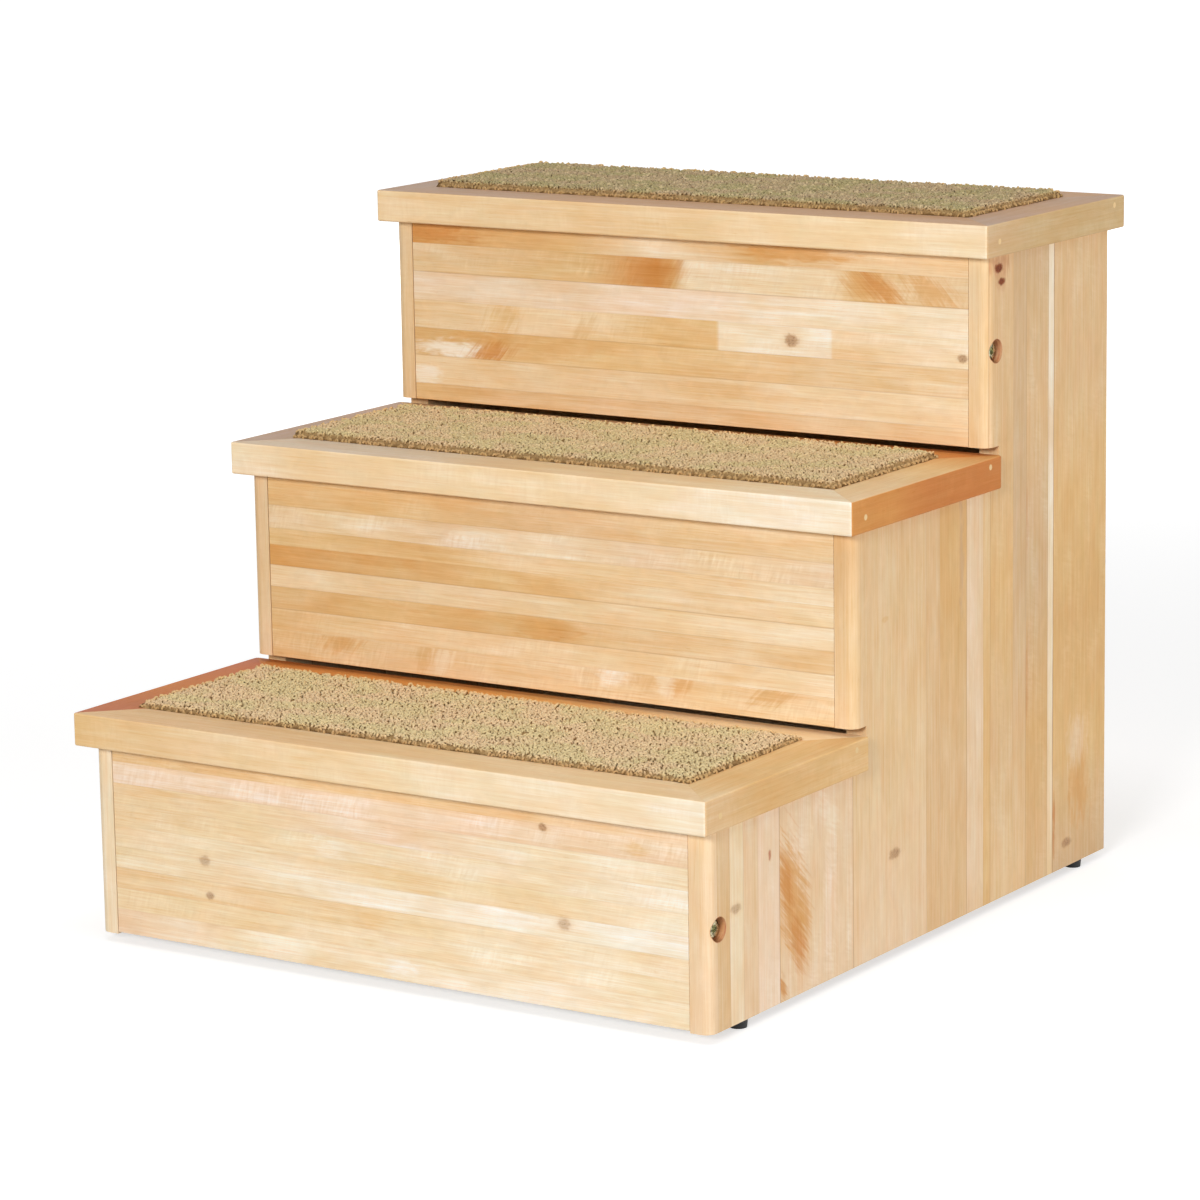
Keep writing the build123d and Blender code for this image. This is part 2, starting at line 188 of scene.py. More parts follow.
@dataclass(frozen=True)
class Graph:
    """A node tree, shader or geometry, with one way to make a node.

    Attributes:
        tree: The node tree.
    """

    tree: Any

    def node(
        self,
        kind: str,
        settings: Mapping[str, Any] | None = None,
        inputs: Mapping[str | int, Any] | None = None,
        output: str | int = 0,
    ) -> Signal:
        """Make a node, set its settings first, then fill or link its sockets.

        Args:
            kind: The node's type name.
            settings: The node's own settings. "stops" holds a ramp's places and colours.
            inputs: Values or signals by socket name or number.
            output: The socket that the result comes from.

        Returns:
            The chosen output, ready for sums.
        """
        made = self.tree.nodes.new(kind)
        for name, value in (settings or {}).items():
            if name == "stops":
                self._fill_ramp(made.color_ramp, value)
            else:
                setattr(made, name, value)
        for name, value in (inputs or {}).items():
            if isinstance(value, Signal):
                self.tree.links.new(value.socket, made.inputs[name])
            else:
                made.inputs[name].default_value = value
        return Signal(self, made.outputs[output])

    @staticmethod
    def _fill_ramp(ramp: Any, stops: Sequence[tuple[float, Any]]) -> None:
        """Put the stops of a ramp in place.

        Args:
            ramp: The node's colour ramp.
            stops: Place from 0 to 1, and colour, of each stop in order.
        """
        while len(ramp.elements) < len(stops):
            ramp.elements.new(1.0)
        while len(ramp.elements) > len(stops):
            ramp.elements.remove(ramp.elements[-1])
        for element, (place, colour) in zip(ramp.elements, stops):
            element.position = place
            element.color = colour

    def math(self, operation: str, *terms: Term) -> Signal:
        """Make a Math node of two or three terms."""
        return self.node("ShaderNodeMath", {"operation": operation}, dict(enumerate(terms)))

    def smooth(self, value: Signal, low: float, high: float) -> Signal:
        """Rise smoothly from 0 at low to 1 at high, or fall where low is the greater.

        Args:
            value: What is measured.
            low: The value that gives 0.
            high: The value that gives 1.

        Returns:
            A number from 0 to 1.
        """
        rising = low < high
        ends = {
            "Value": value,
            "From Min": low if rising else high,
            "From Max": high if rising else low,
            "To Min": 0.0 if rising else 1.0,
            "To Max": 1.0 if rising else 0.0,
        }
        return self.node("ShaderNodeMapRange", {"interpolation_type": "SMOOTHSTEP"}, ends)

    def blend(self, factor: Term, base: Any, over: Any, mode: str = "MIX") -> Signal:
        """Mix two colours.

        Args:
            factor: Share of the second colour.
            base: The first colour.
            over: The second colour.
            mode: How they mix.

        Returns:
            The mixed colour.
        """
        settings = {"data_type": "RGBA", "blend_type": mode, "clamp_factor": True}
        return self.node("ShaderNodeMix", settings, {0: factor, 6: base, 7: over}, 2)

    def vector(self, x: Term, y: Term, z: Term) -> Signal:
        """Join three numbers into a vector."""
        return self.node("ShaderNodeCombineXYZ", None, {0: x, 1: y, 2: z})

    def noise(self, place: Signal, detail: float = 2.0, twist: float = 0.0) -> Signal:
        """Noise about zero, from -0.5 to 0.5, at a place already scaled to it.

        Args:
            place: The pattern's coordinates.
            detail: Layers of finer noise.
            twist: How far the pattern is drawn out of line.

        Returns:
            The noise's value.
        """
        inputs = {"Vector": place, "Scale": 1.0, "Detail": detail, "Distortion": twist}
        return self.node("ShaderNodeTexNoise", None, inputs) - 0.5

    def ramp(self, value: Signal, stops: Sequence[tuple[float, Any]]) -> Signal:
        """Read a colour from a ramp."""
        return self.node("ShaderNodeValToRGB", {"stops": stops}, {0: value})

    def object_axes(self) -> dict[str, Signal]:
        """Give the object's own coordinates in millimetres.

        Returns:
            The coordinates by axis letter, X first.
        """
        place = self.node("ShaderNodeTexCoord", None, None, "Object")
        split = self.node("ShaderNodeSeparateXYZ", None, {0: place})
        outputs = split.socket.node.outputs
        return {axis: Signal(self, outputs[axis]) / MM for axis in "XYZ"}

    def speckle(self, size: Size, detail: float = 2.0, twist: float = 0.0) -> Signal:
        """Noise that is fixed to the object.

        Args:
            size: The noise's size along X, Y and Z, in millimetres.
            detail: Layers of finer noise.
            twist: How far the pattern is drawn out of line.

        Returns:
            The noise's value.
        """
        x, y, z = self.object_axes().values()
        return self.noise(self.vector(x / size[0], y / size[1], z / size[2]), detail, twist)

    def facing(self, axis: str) -> Signal:
        """How much of the surface's normal points along an axis of the world.

        Args:
            axis: The axis's letter.

        Returns:
            A number from -1 to 1.
        """
        normal = self.node("ShaderNodeNewGeometry", None, None, "Normal")
        split = self.node("ShaderNodeSeparateXYZ", None, {0: normal})
        return Signal(self, split.socket.node.outputs[axis])


def shader(name: str) -> tuple[bpy.types.Material, Graph]:
    """Make an empty material and its graph.

    Args:
        name: The material's name.

    Returns:
        The material, and a graph on its cleared tree.
    """
    material = bpy.data.materials.new(name)
    material.use_nodes = True
    material.node_tree.nodes.clear()
    return material, Graph(material.node_tree)


def close_surface(graph: Graph, inputs: Mapping[str, Any], height: Signal, depth: float) -> None:
    """End a material in one Principled surface with a bump.

    Args:
        graph: The material's graph.
        inputs: The surface's sockets.
        height: The bump's height, about 0 to 1.
        depth: How deep a height of 1 is, in metres.
    """
    bump = {"Strength": 1.0, "Distance": depth, "Height": height}
    normal = graph.node("ShaderNodeBump", None, bump)
    surface = graph.node("ShaderNodeBsdfPrincipled", None, {**inputs, "Normal": normal})
    end = graph.tree.nodes.new("ShaderNodeOutputMaterial")
    graph.tree.links.new(surface.socket, end.inputs["Surface"])


# Wood


class Grain(Enum):
    """Which way the grain, the stack of staves and the thickness of a board run."""

    RISER = ("X", "Z", "Y")
    PANEL = ("Z", "Y", "X")
    CROSS_RAIL = ("X", "Y", "Z")
    SIDE_RAIL = ("Y", "X", "Z")


Stops = tuple[tuple[float, Tone], ...]
Axes = tuple[Signal, Signal, Signal]


@dataclass(frozen=True)
class Figure:
    """One pattern in the wood: noise drawn out along the grain.

    Attributes:
        along: Its size along the board, in millimetres.
        across: Its size across and through the board.
        detail: Layers of finer noise in it.
        twist: How far it is drawn out of line.
        jumps: Whether it starts anew across each stave, as well as along it.
        lean: How far across it leans over by its own size, or 0 where it stands square.
        cut: Where through the noise the board is cut.
        tint: Its share in the colour.
        relief: Its share in the bump.
        matt: Its share in the roughness.
    """

    along: float
    across: float
    detail: float = 2.0
    twist: float = 0.0
    jumps: bool = True
    lean: float = 0.0
    cut: float = 0.0
    tint: float = 0.0
    relief: float = 0.0
    matt: float = 0.0

    def noise(self, graph: Graph, axes: Axes, shift: Signal) -> Signal:
        """Make the pattern.

        Args:
            graph: The material's graph.
            axes: Along, across and through the board.
            shift: Moves the pattern from stave to stave.

        Returns:
            The noise's value.
        """
        u, v, w = axes
        along, across, through = u / self.along, v / self.across, w / self.across
        if self.lean:
            along = along + v / self.lean
        if self.jumps:
            across = across + shift
        if self.cut:
            through = through + self.cut
        return graph.noise(graph.vector(along + shift, across, through), self.detail, self.twist)


STREAK = Figure(130, 3, detail=3.0, tint=0.13, relief=0.3, matt=0.15)
CLOUD = Figure(42, 15, twist=0.4, tint=0.18, matt=0.1)
FIBRE = Figure(18, 0.45, jumps=False, tint=0.13, relief=0.5)
RINGS = Figure(55, 1.1, twist=0.3, tint=0.12)
# SHIMMER is painted sheen: bright patches that stand for the lacquer's shifting shimmer.
SHIMMER = Figure(12, 7, twist=0.8, jumps=False, tint=0.14)
CURL = Figure(2.6, 12, detail=1.0, twist=0.9, jumps=False, lean=9, tint=0.12, relief=0.2)
PORES = Figure(7, 0.6, jumps=False, tint=0.04, relief=0.5, matt=0.15)
BLUSH = Figure(34, 11, twist=0.6, cut=7, tint=0.05)

# The figure of the next stave starts this much further on.
STAVE_SHIFT = 17.3
# Warmth at which a tone comes out as written, and the powers by which green and blue follow it.
EVEN, GREEN_FALL, BLUE_FALL = 1.022, 2.5, 5.0
# Share of the blush in green, where its tint is the share in red.
LEAFY = 0.04
# Levels of the noise between which a pore opens, and between which a patch of curl begins.
PORE_LEVEL, CURL_PATCH = (0.14, 0.25), (-0.1, 0.15)
# Satin lacquer, and the depth of the grain under it, in metres.
LACQUER_ROUGHNESS, LACQUER_SHINE, GRAIN_DEPTH = 0.56, 0.16, 0.0001
# Radii between which the wall of a bolt hole begins, in millimetres. The wall is darkened partly
# for its drilled grain and partly as painted shade in the hole.
BORE_EDGE = (6.9, 6.6)
# Where the rings of a knot begin and where they are full, as shares of its radius.
KNOT_HALO, KNOT_CORE, KNOT_DARK = (2.0, 0.8), (1.2, 0.6), (0.95, 0.4)
# Size of a flame's wisps along and across, slanted and level, in millimetres.
SLANTED_WISP, LEVEL_WISP = (3.0, 16.0), (12.0, 3.0)
# Where a flame begins and where it is full, as shares of its reach, and how far wisps move that.
FLAME_EDGE, WISPINESS = (1.2, 0.3), 2.2
# Distances from a joint at which its glue line begins and is full, in millimetres.
GLUE_LINE = (0.55, 0.1)
# Depth of a glue line, as a share of the grain's.
GLUE_RELIEF = 2
# How squarely a face looks up, or along the grain, where that begins to count and counts fully.
UPWARD, ENDWARD = (0.6, 0.95), (0.8, 0.95)


@dataclass(frozen=True)
class Stave:
    """One strip of a glued board.

    Attributes:
        width: Across the grain, in millimetres.
        tones: Places along it, from 0 to 1, and the tone there.
        curl: Strength of the cross figure.
        joint: Strength of the glue line on its far side.
    """

    width: float
    tones: Stops
    curl: float = 0.3
    joint: float = 0.15


@dataclass(frozen=True)
class Knot:
    """A small round knot, placed in millimetres from the board's start and edge.

    Attributes:
        along: Its place along the board.
        across: Its place across.
        radius: Its radius across.
        core: Tone of its heart.
        rim: Tone of its dark specks.
        strength: How plainly it shows.
        stretch: How much longer it is than wide.
    """

    along: float
    across: float
    radius: float
    core: Tone = Tone.KNOT
    rim: Tone = Tone.KNOT_RIM
    strength: float = 0.7
    stretch: float = 1.2


@dataclass(frozen=True)
class Flame:
    """A soft patch of heartwood colour, placed in millimetres as a knot is. One of them is painted
    shade under a tread's nosing.

    A slanted patch is drawn out along its slant, as grain is that runs out of the board.

    Attributes:
        along: Its place along the board.
        across: Its place across, which also tells the stave that it stays in.
        reach: How far it reaches along, to each side.
        breadth: How far it reaches across, to each side.
        tone: Its tone.
        strength: How plainly it shows.
        slant: How far it runs along for each millimetre across.
    """

    along: float
    across: float
    reach: float
    breadth: float
    tone: Tone = Tone.ORANGE
    strength: float = 0.7
    slant: float = 0.0


def along(*tones: Tone) -> Stops:
    """Spread tones evenly along a board."""
    last = max(len(tones) - 1, 1)
    return tuple((number / last, tone) for number, tone in enumerate(tones))


def one_stave(*tones: Tone, curl: float = 0.25) -> tuple[Stave, ...]:
    """The single stave of a solid board, with its tones spread along it."""
    return (Stave(1.0, along(*tones), curl, 0.0),)


@dataclass(frozen=True)
class WoodFinish:
    """Satin-lacquered wood of one board.

    Attributes:
        name: The material's name.
        node: The CAD node whose box gives the pattern its place.
        grain: Which way the board runs.
        staves: Its strips, in order across the grain.
        downward: True where the strips are counted from the high edge down.
        knots: Its knots.
        flames: Its patches of heartwood, and on the bottom riser one of painted shade.
        seed: Moves the figure, so that no two boards are alike.
        figure: Strength of the figure as a whole.
        pale: How much less yellow the whole board is.
        crown_and_shade: Tones along the upward face, where it differs: partly the face's own
            figure, partly painted shade where the light grazes it.
        bores: Bolt holes, along and across, whose walls are darker, partly for the drilled grain
            and partly as painted shade.
    """

    name: str
    node: str
    grain: Grain
    staves: tuple[Stave, ...]
    downward: bool = False
    knots: tuple[Knot, ...] = ()
    flames: tuple[Flame, ...] = ()
    seed: float = 0.0
    figure: float = 1.0
    pale: float = 0.0
    crown_and_shade: Stops = ()
    bores: tuple[tuple[float, float], ...] = ()

    def material(self) -> bpy.types.Material:
        """Build the material: tones, then the figure over them, glue lines and cut ends.

        Returns:
            The material.
        """
        made, graph = shader(self.name)
        axes = self._board_axes(graph)
        colour, index = self._stave_tones(graph, axes)
        for flame in self.flames:
            colour = self._flame(graph, colour, flame, axes)
        for knot in self.knots:
            colour = self._knot(graph, colour, knot, axes)
        colour = self._crown_and_shade(graph, colour, axes)
        for bore in self.bores:
            colour = self._bore_wall_and_shade(graph, colour, bore, axes)
        shift = index * STAVE_SHIFT + self.seed
        streak, cloud, fibre, rings, shimmer, curl, pores, blush = (
            figure.noise(graph, axes, shift)
            for figure in (STREAK, CLOUD, FIBRE, RINGS, SHIMMER, CURL, PORES, BLUSH)
        )
        curl = curl * self._curl_strength(axes) * graph.smooth(cloud, *CURL_PATCH)
        pores = graph.smooth(pores, *PORE_LEVEL)
        warm = streak * STREAK.tint + cloud * CLOUD.tint + fibre * FIBRE.tint + rings * RINGS.tint
        warm = warm * self.figure - pores * PORES.tint + curl * CURL.tint + (EVEN + self.pale)
        # The shimmer lightens the colour as painted sheen. The curl adds its figure.
        light = 1 + shimmer * SHIMMER.tint * self.figure + curl * CURL.tint
        red = warm * (light * (1 + blush * BLUSH.tint))
        green = warm**GREEN_FALL * (light * (1 - blush * LEAFY))
        tint = graph.vector(red, green, warm**BLUE_FALL * light)
        colour = graph.blend(1.0, colour, tint, "MULTIPLY")
        colour, lines = self._joints(graph, colour, axes)
        colour = self._end_grain(graph, colour, axes)
        height = fibre * FIBRE.relief + streak * STREAK.relief - pores * PORES.relief
        height = height - lines * GLUE_RELIEF + curl * CURL.relief
        rough = LACQUER_ROUGHNESS + streak * STREAK.matt + cloud * CLOUD.matt + pores * PORES.matt
        inputs = {"Base Color": colour, "Roughness": rough, "Specular IOR Level": LACQUER_SHINE}
        close_surface(graph, inputs, height, GRAIN_DEPTH)
        return made

    def _crown_and_shade(self, graph: Graph, colour: Signal, axes: Axes) -> Signal:
        """Give the upward face its own tones, as a board's flat-sawn side has, partly darkened as
        painted shade where the light grazes the tops.

        Args:
            graph: The material's graph.
            colour: The colour so far.
            axes: Along, across and through the board.

        Returns:
            The colour with the upward face's tones and painted shade, where the board has them.
        """
        if not self.crown_and_shade:
            return colour
        stops = [(place, tone.colour) for place, tone in self.crown_and_shade]
        crown_and_shade = graph.ramp(axes[0] / self._length(), stops)
        return graph.blend(graph.smooth(graph.facing("Z"), *UPWARD), colour, crown_and_shade)

    @staticmethod
    def _bore_wall_and_shade(graph: Graph, colour: Signal, bore: tuple[float, float], axes: Axes) -> Signal:
        """Darken the wall of one bolt hole, ringed as the drill leaves it: partly the drilled
        grain's colour, partly painted shade in the hole.

        Args:
            graph: The material's graph.
            colour: The colour so far.
            bore: The hole's place along and across.
            axes: Along, across and through the board.

        Returns:
            The colour with the hole.
        """
        u, v, w = axes
        # The wall's darker tone is partly the drilled grain's and partly painted shade in the hole.
        away = (power(u - bore[0], 2) + power(v - bore[1], 2)) ** 0.5
        drilled = graph.smooth(graph.noise(graph.vector(w / 0.7, u / 9, v / 9)), -0.05, 0.12)
        wall = graph.blend(drilled * 0.6, Tone.BORE_WALL_AND_SHADE.colour, Tone.RUSSET.colour)
        return graph.blend(graph.smooth(away, *BORE_EDGE), colour, wall)

    def _board_axes(self, graph: Graph) -> Axes:
        """Measure along, across and through the board, in millimetres from its start.

        Args:
            graph: The material's graph.

        Returns:
            The three measures.
        """
        low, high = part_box(self.node)
        axes = graph.object_axes()
        along, across, through = self.grain.value
        place = {letter: number for number, letter in enumerate("XYZ")}
        u = axes[along] - low[place[along]] / MM
        v = axes[across] - low[place[across]] / MM
        if self.downward:
            v = high[place[across]] / MM - axes[across]
        return u, v, axes[through]

    def _length(self) -> float:
        """Measure the board along the grain.

        Returns:
            Its length in millimetres.
        """
        low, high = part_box(self.node)
        axis = "XYZ".index(self.grain.value[0])
        return (high[axis] - low[axis]) / MM

    def _edges(self) -> list[float]:
        """Find where each stave but the last ends.

        Returns:
            The places, in millimetres across.
        """
        places, total = [], 0.0
        for stave in self.staves[:-1]:
            total += stave.width
            places.append(total)
        return places

    def _stave_tones(self, graph: Graph, axes: Axes) -> tuple[Signal, Signal]:
        """Lay the staves' tones side by side.

        Args:
            graph: The material's graph.
            axes: Along, across and through the board.

        Returns:
            The colour, and a number that steps up by one at each stave.
        """
        u, v, _ = axes
        share = u / self._length()
        ramps = [
            graph.ramp(share, [(place, tone.colour) for place, tone in stave.tones])
            for stave in self.staves
        ]
        colour, index = ramps[0], v * 0.0
        for edge, over in zip(self._edges(), ramps[1:]):
            beyond = v > edge
            colour = graph.blend(beyond, colour, over)
            index = index + beyond
        return colour, index

    def _curl_strength(self, axes: Axes) -> Term:
        """Give the cross figure's strength in the stave at hand.

        Args:
            axes: Along, across and through the board.

        Returns:
            The strength, a plain number where all the staves have the same.
        """
        v = axes[1]
        strength: Term = self.staves[0].curl
        for edge, before, stave in zip(self._edges(), self.staves, self.staves[1:]):
            if stave.curl != before.curl:
                strength = (v > edge) * (stave.curl - before.curl) + strength
        return strength

    def _flame(self, graph: Graph, colour: Signal, flame: Flame, axes: Axes) -> Signal:
        """Lay one patch of heartwood over the colour, within the stave that it is in.

        Args:
            graph: The material's graph.
            colour: The colour so far.
            flame: The patch.
            axes: Along, across and through the board.

        Returns:
            The colour with the patch.
        """
        u, v, w = axes
        across = v - flame.across
        along = u - flame.along + across * flame.slant
        long, wide = SLANTED_WISP if flame.slant else LEVEL_WISP
        wisp = graph.noise(graph.vector(along / long, across / wide, w / 4 + flame.reach), 3.0, 0.7)
        spread = (power(along / flame.reach, 2) + power(across / flame.breadth, 2)) ** 0.5
        cover = graph.smooth(spread + wisp * WISPINESS, *FLAME_EDGE) * flame.strength
        nearer = [edge for edge in self._edges() if edge < flame.across]
        farther = [edge for edge in self._edges() if edge >= flame.across]
        if nearer:
            cover = cover * (v > nearer[-1])
        if farther:
            cover = cover * (1 - (v > farther[0]))
        return graph.blend(cover, colour, flame.tone.colour)

    @staticmethod
    def _knot(graph: Graph, colour: Signal, knot: Knot, axes: Axes) -> Signal:
        """Lay one knot over the colour: a faint halo, a core, and a dark broken rim.

        Args:
            graph: The material's graph.
            colour: The colour so far.
            knot: The knot.
            axes: Along, across and through the board.

        Returns:
            The colour with the knot.
        """
        u, v, w = axes
        along = (u - knot.along) / knot.stretch
        away = (power(along, 2) + power(v - knot.across, 2)) ** 0.5 / knot.radius
        away = away + graph.noise(graph.vector(u / 2.2, v / 2.2, w / 2.2 + knot.along), 2.0) * 0.8
        specks = graph.smooth(graph.noise(graph.vector(u / 1.1, v / 0.9, w / 0.9), 3.0), 0.0, 0.12)
        halo, core, dark = (graph.smooth(away, *ring) for ring in (KNOT_HALO, KNOT_CORE, KNOT_DARK))
        colour = graph.blend(halo * 0.3, colour, Tone.TAN.colour)
        colour = graph.blend(core * knot.strength, colour, knot.core.colour)
        dark = dark * (specks * 0.65 + 0.35) * knot.strength * 0.8
        return graph.blend(dark, colour, knot.rim.colour)

    def _joints(self, graph: Graph, colour: Signal, axes: Axes) -> tuple[Signal, Signal]:
        """Draw the glue lines.

        Args:
            graph: The material's graph.
            colour: The colour so far.
            axes: Along, across and through the board.

        Returns:
            The colour with its lines, and the lines themselves for the bump.
        """
        u, v, _ = axes
        lines: Term = 0.0
        for edge, stave in zip(self._edges(), self.staves):
            if stave.joint:
                off = graph.math("ABSOLUTE", v - edge)
                lines = graph.smooth(off, *GLUE_LINE) * stave.joint + lines
        if not isinstance(lines, Signal):
            return colour, u * 0.0
        lines = lines * (1 + graph.noise(graph.vector(u / 26, v / 5, 0.0)) * 1.2)
        return graph.blend(lines, colour, Tone.JOINT.colour), lines

    def _end_grain(self, graph: Graph, colour: Signal, axes: Axes) -> Signal:
        """Darken the cut ends and dot them with pores.

        Args:
            graph: The material's graph.
            colour: The colour so far.
            axes: Along, across and through the board.

        Returns:
            The colour with its cut ends.
        """
        _, v, w = axes
        endward = graph.math("ABSOLUTE", graph.facing(self.grain.value[0]))
        dots = graph.noise(graph.vector(v / 0.8, w / 0.8, 0.0)) * 0.5 + 0.8
        dark = graph.blend(1.0, colour, graph.vector(dots, dots**1.2, dots**1.5), "MULTIPLY")
        return graph.blend(graph.smooth(endward, *ENDWARD), colour, dark)


# Other finishes


@dataclass(frozen=True)
class PlyFinish:
    """The rotary-cut face of a plywood board, unlacquered.

    Attributes:
        name: The material's name.
        sway: Size of the bends in its rings.
        ring: Distance between its rings, in millimetres.
        fibre: Size of its fibres.
        depth: Depth of its surface, in metres.
    """

    name: str
    sway: Size = (120, 26, 30)
    ring: float = 14.0
    fibre: Size = (16, 0.6, 0.6)
    depth: float = 0.00015

    def material(self) -> bpy.types.Material:
        """Build the material.

        Returns:
            The material.
        """
        made, graph = shader(self.name)
        sway, fibre = graph.speckle(self.sway), graph.speckle(self.fibre)
        bands = graph.object_axes()["Y"] / (self.ring / 2) + sway * 9
        rings = graph.math("SINE", bands * math.pi)
        light = 1 + rings * 0.035 + fibre * 0.12 + sway * 0.12
        tint = graph.vector(light, light**1.3, light**1.8)
        colour = graph.blend(1.0, Tone.PLY.colour, tint, "MULTIPLY")
        inputs = {"Base Color": colour, "Roughness": 0.72 + fibre * 0.2}
        close_surface(graph, inputs, fibre * 0.6 + rings * 0.15, self.depth)
        return made


@dataclass(frozen=True)
class MetalFinish:
    """Plated or blackened steel, with cloudy plating and fine rubbing marks.

    Attributes:
        name: The material's name.
        base: Colour of the clean plating.
        stain: Colour of its clouds.
        roughness: Its mean roughness.
        cloud: Size of the clouds.
        rub: Size of the rubbing marks.
        depth: Depth of its surface, in metres.
    """

    name: str
    base: Rgb
    stain: Rgb
    roughness: float
    cloud: Size = (1.8, 1.8, 1.8)
    rub: Size = (0.2, 1.2, 0.3)
    depth: float = 0.00003

    def material(self) -> bpy.types.Material:
        """Build the material.

        Returns:
            The material.
        """
        made, graph = shader(self.name)
        cloud, marks = graph.speckle(self.cloud, 3.0), graph.speckle(self.rub, 2.0, 0.4)
        colour = graph.blend(graph.smooth(cloud, -0.1, 0.18), linear(self.base), linear(self.stain))
        rough = self.roughness + cloud * 0.2 + marks * 0.15
        inputs = {"Base Color": colour, "Roughness": rough, "Metallic": 1.0}
        close_surface(graph, inputs, marks + cloud * 0.4, self.depth)
        return made


@dataclass(frozen=True)
class PlasticFinish:
    """Moulded matt plastic with a fine spark-eroded texture.

    Attributes:
        name: The material's name.
        base: Its colour.
        speck: Size of the texture.
        dust: Size of the patches of dust.
        depth: Depth of its surface, in metres.
    """

    name: str
    base: Rgb
    speck: Size = (0.25, 0.25, 0.25)
    dust: Size = (2.5, 2.5, 2.5)
    depth: float = 0.00004

    def material(self) -> bpy.types.Material:
        """Build the material.

        Returns:
            The material.
        """
        made, graph = shader(self.name)
        speck, dust = graph.speckle(self.speck), graph.speckle(self.dust, 3.0)
        light = 1 + speck * 0.3 + dust * 0.5
        colour = graph.blend(1.0, linear(self.base), graph.vector(light, light, light), "MULTIPLY")
        rough = 0.55 + speck * 0.2 + dust * 0.15
        close_surface(graph, {"Base Color": colour, "Roughness": rough}, speck, self.depth)
        return made


@dataclass(frozen=True)
class FillerFinish:
    """Sanded wood filler, chalky and a little uneven.

    Attributes:
        name: The material's name.
        chalk: Size of the unevenness.
        depth: Depth of its surface, in metres.
    """

    name: str
    chalk: Size = (0.5, 0.5, 0.5)
    depth: float = 0.00008

    def material(self) -> bpy.types.Material:
        """Build the material.

        Returns:
            The material.
        """
        made, graph = shader(self.name)
        chalk = graph.speckle(self.chalk, 3.0)
        light = 1 + chalk * 0.2
        tint = graph.vector(light, light**1.1, light**1.3)
        colour = graph.blend(1.0, Tone.FILLER.colour, tint, "MULTIPLY")
        inputs = {"Base Color": colour, "Roughness": 0.6 + chalk * 0.2}
        close_surface(graph, inputs, chalk, self.depth)
        return made


LOOP_SHADE = "loop_shade"
LOOP_EDGE = "loop_edge"


def attribute(graph: Graph, name: str) -> Signal:
    """A number that the mesh carries."""
    settings = {"attribute_type": "GEOMETRY", "attribute_name": name}
    return graph.node("ShaderNodeAttribute", settings, None, "Fac")


@dataclass(frozen=True)
class YarnFinish:
    """Short wool-mix loops, olive beige with warmer patches, with painted shade darkening them
    towards their feet.

    Attributes:
        name: The material's name.
        foot: Height of the loops' feet, in millimetres.
        tip: Height of the loops' tops, in millimetres.
        olive: The cooler yarn.
        beige: The warmer yarn.
        pale_loop: Colour that the palest loops lean to.
        dark_loop: Colour that the darkest loops lean to.
        fringe: Colour that the loops at the edge lean to.
        root: Colour that the loops' feet lean to, painted shade deep in the pile.
        twist: Size of the yarn's twist.
        depth: Depth of its surface, in metres.
    """

    name: str
    foot: float
    tip: float
    olive: Rgb
    beige: Rgb
    pale_loop: Rgb = (238, 214, 166)
    dark_loop: Rgb = (176, 142, 98)
    fringe: Rgb = (234, 190, 126)
    root: Rgb = (156, 118, 72)
    twist: Size = (0.5, 0.5, 0.5)
    depth: float = 0.0003

    def material(self) -> bpy.types.Material:
        """Build the material.

        Returns:
            The material.
        """
        made, graph = shader(self.name)
        x, y, z = graph.object_axes().values()
        shade, edge = (attribute(graph, name) for name in (LOOP_SHADE, LOOP_EDGE))
        patch = graph.noise(graph.vector(x / 30, y / 24, 0.0), 2.0, 0.5)
        warm = graph.smooth(patch + shade * 0.04, -0.08, 0.12)
        colour = graph.blend(warm, linear(self.olive), linear(self.beige))
        for share, lean in (
            (graph.smooth(shade, 0.6, 1.0) * 0.5, self.pale_loop),
            (graph.smooth(shade, 0.3, 0.0) * 0.28, self.dark_loop),
            (edge * 0.6, self.fringe),
            # Painted shade: the loops darken towards their feet, where the pile shades itself.
            (graph.smooth(z, self.tip - 1.0, self.foot) * 0.5, self.root),
        ):
            colour = graph.blend(share, colour, linear(lean))
        twist = graph.speckle(self.twist)
        light = 1 + twist * 0.3
        tint = graph.vector(light, light**1.1, light**1.2)
        colour = graph.blend(1.0, colour, tint, "MULTIPLY")
        inputs = {"Base Color": colour, "Roughness": 0.92 + twist * 0.1}
        inputs |= {"Sheen Weight": 0.08, "Sheen Roughness": 0.5, "Specular IOR Level": 0.1}
        close_surface(graph, inputs, twist, self.depth)
        return made


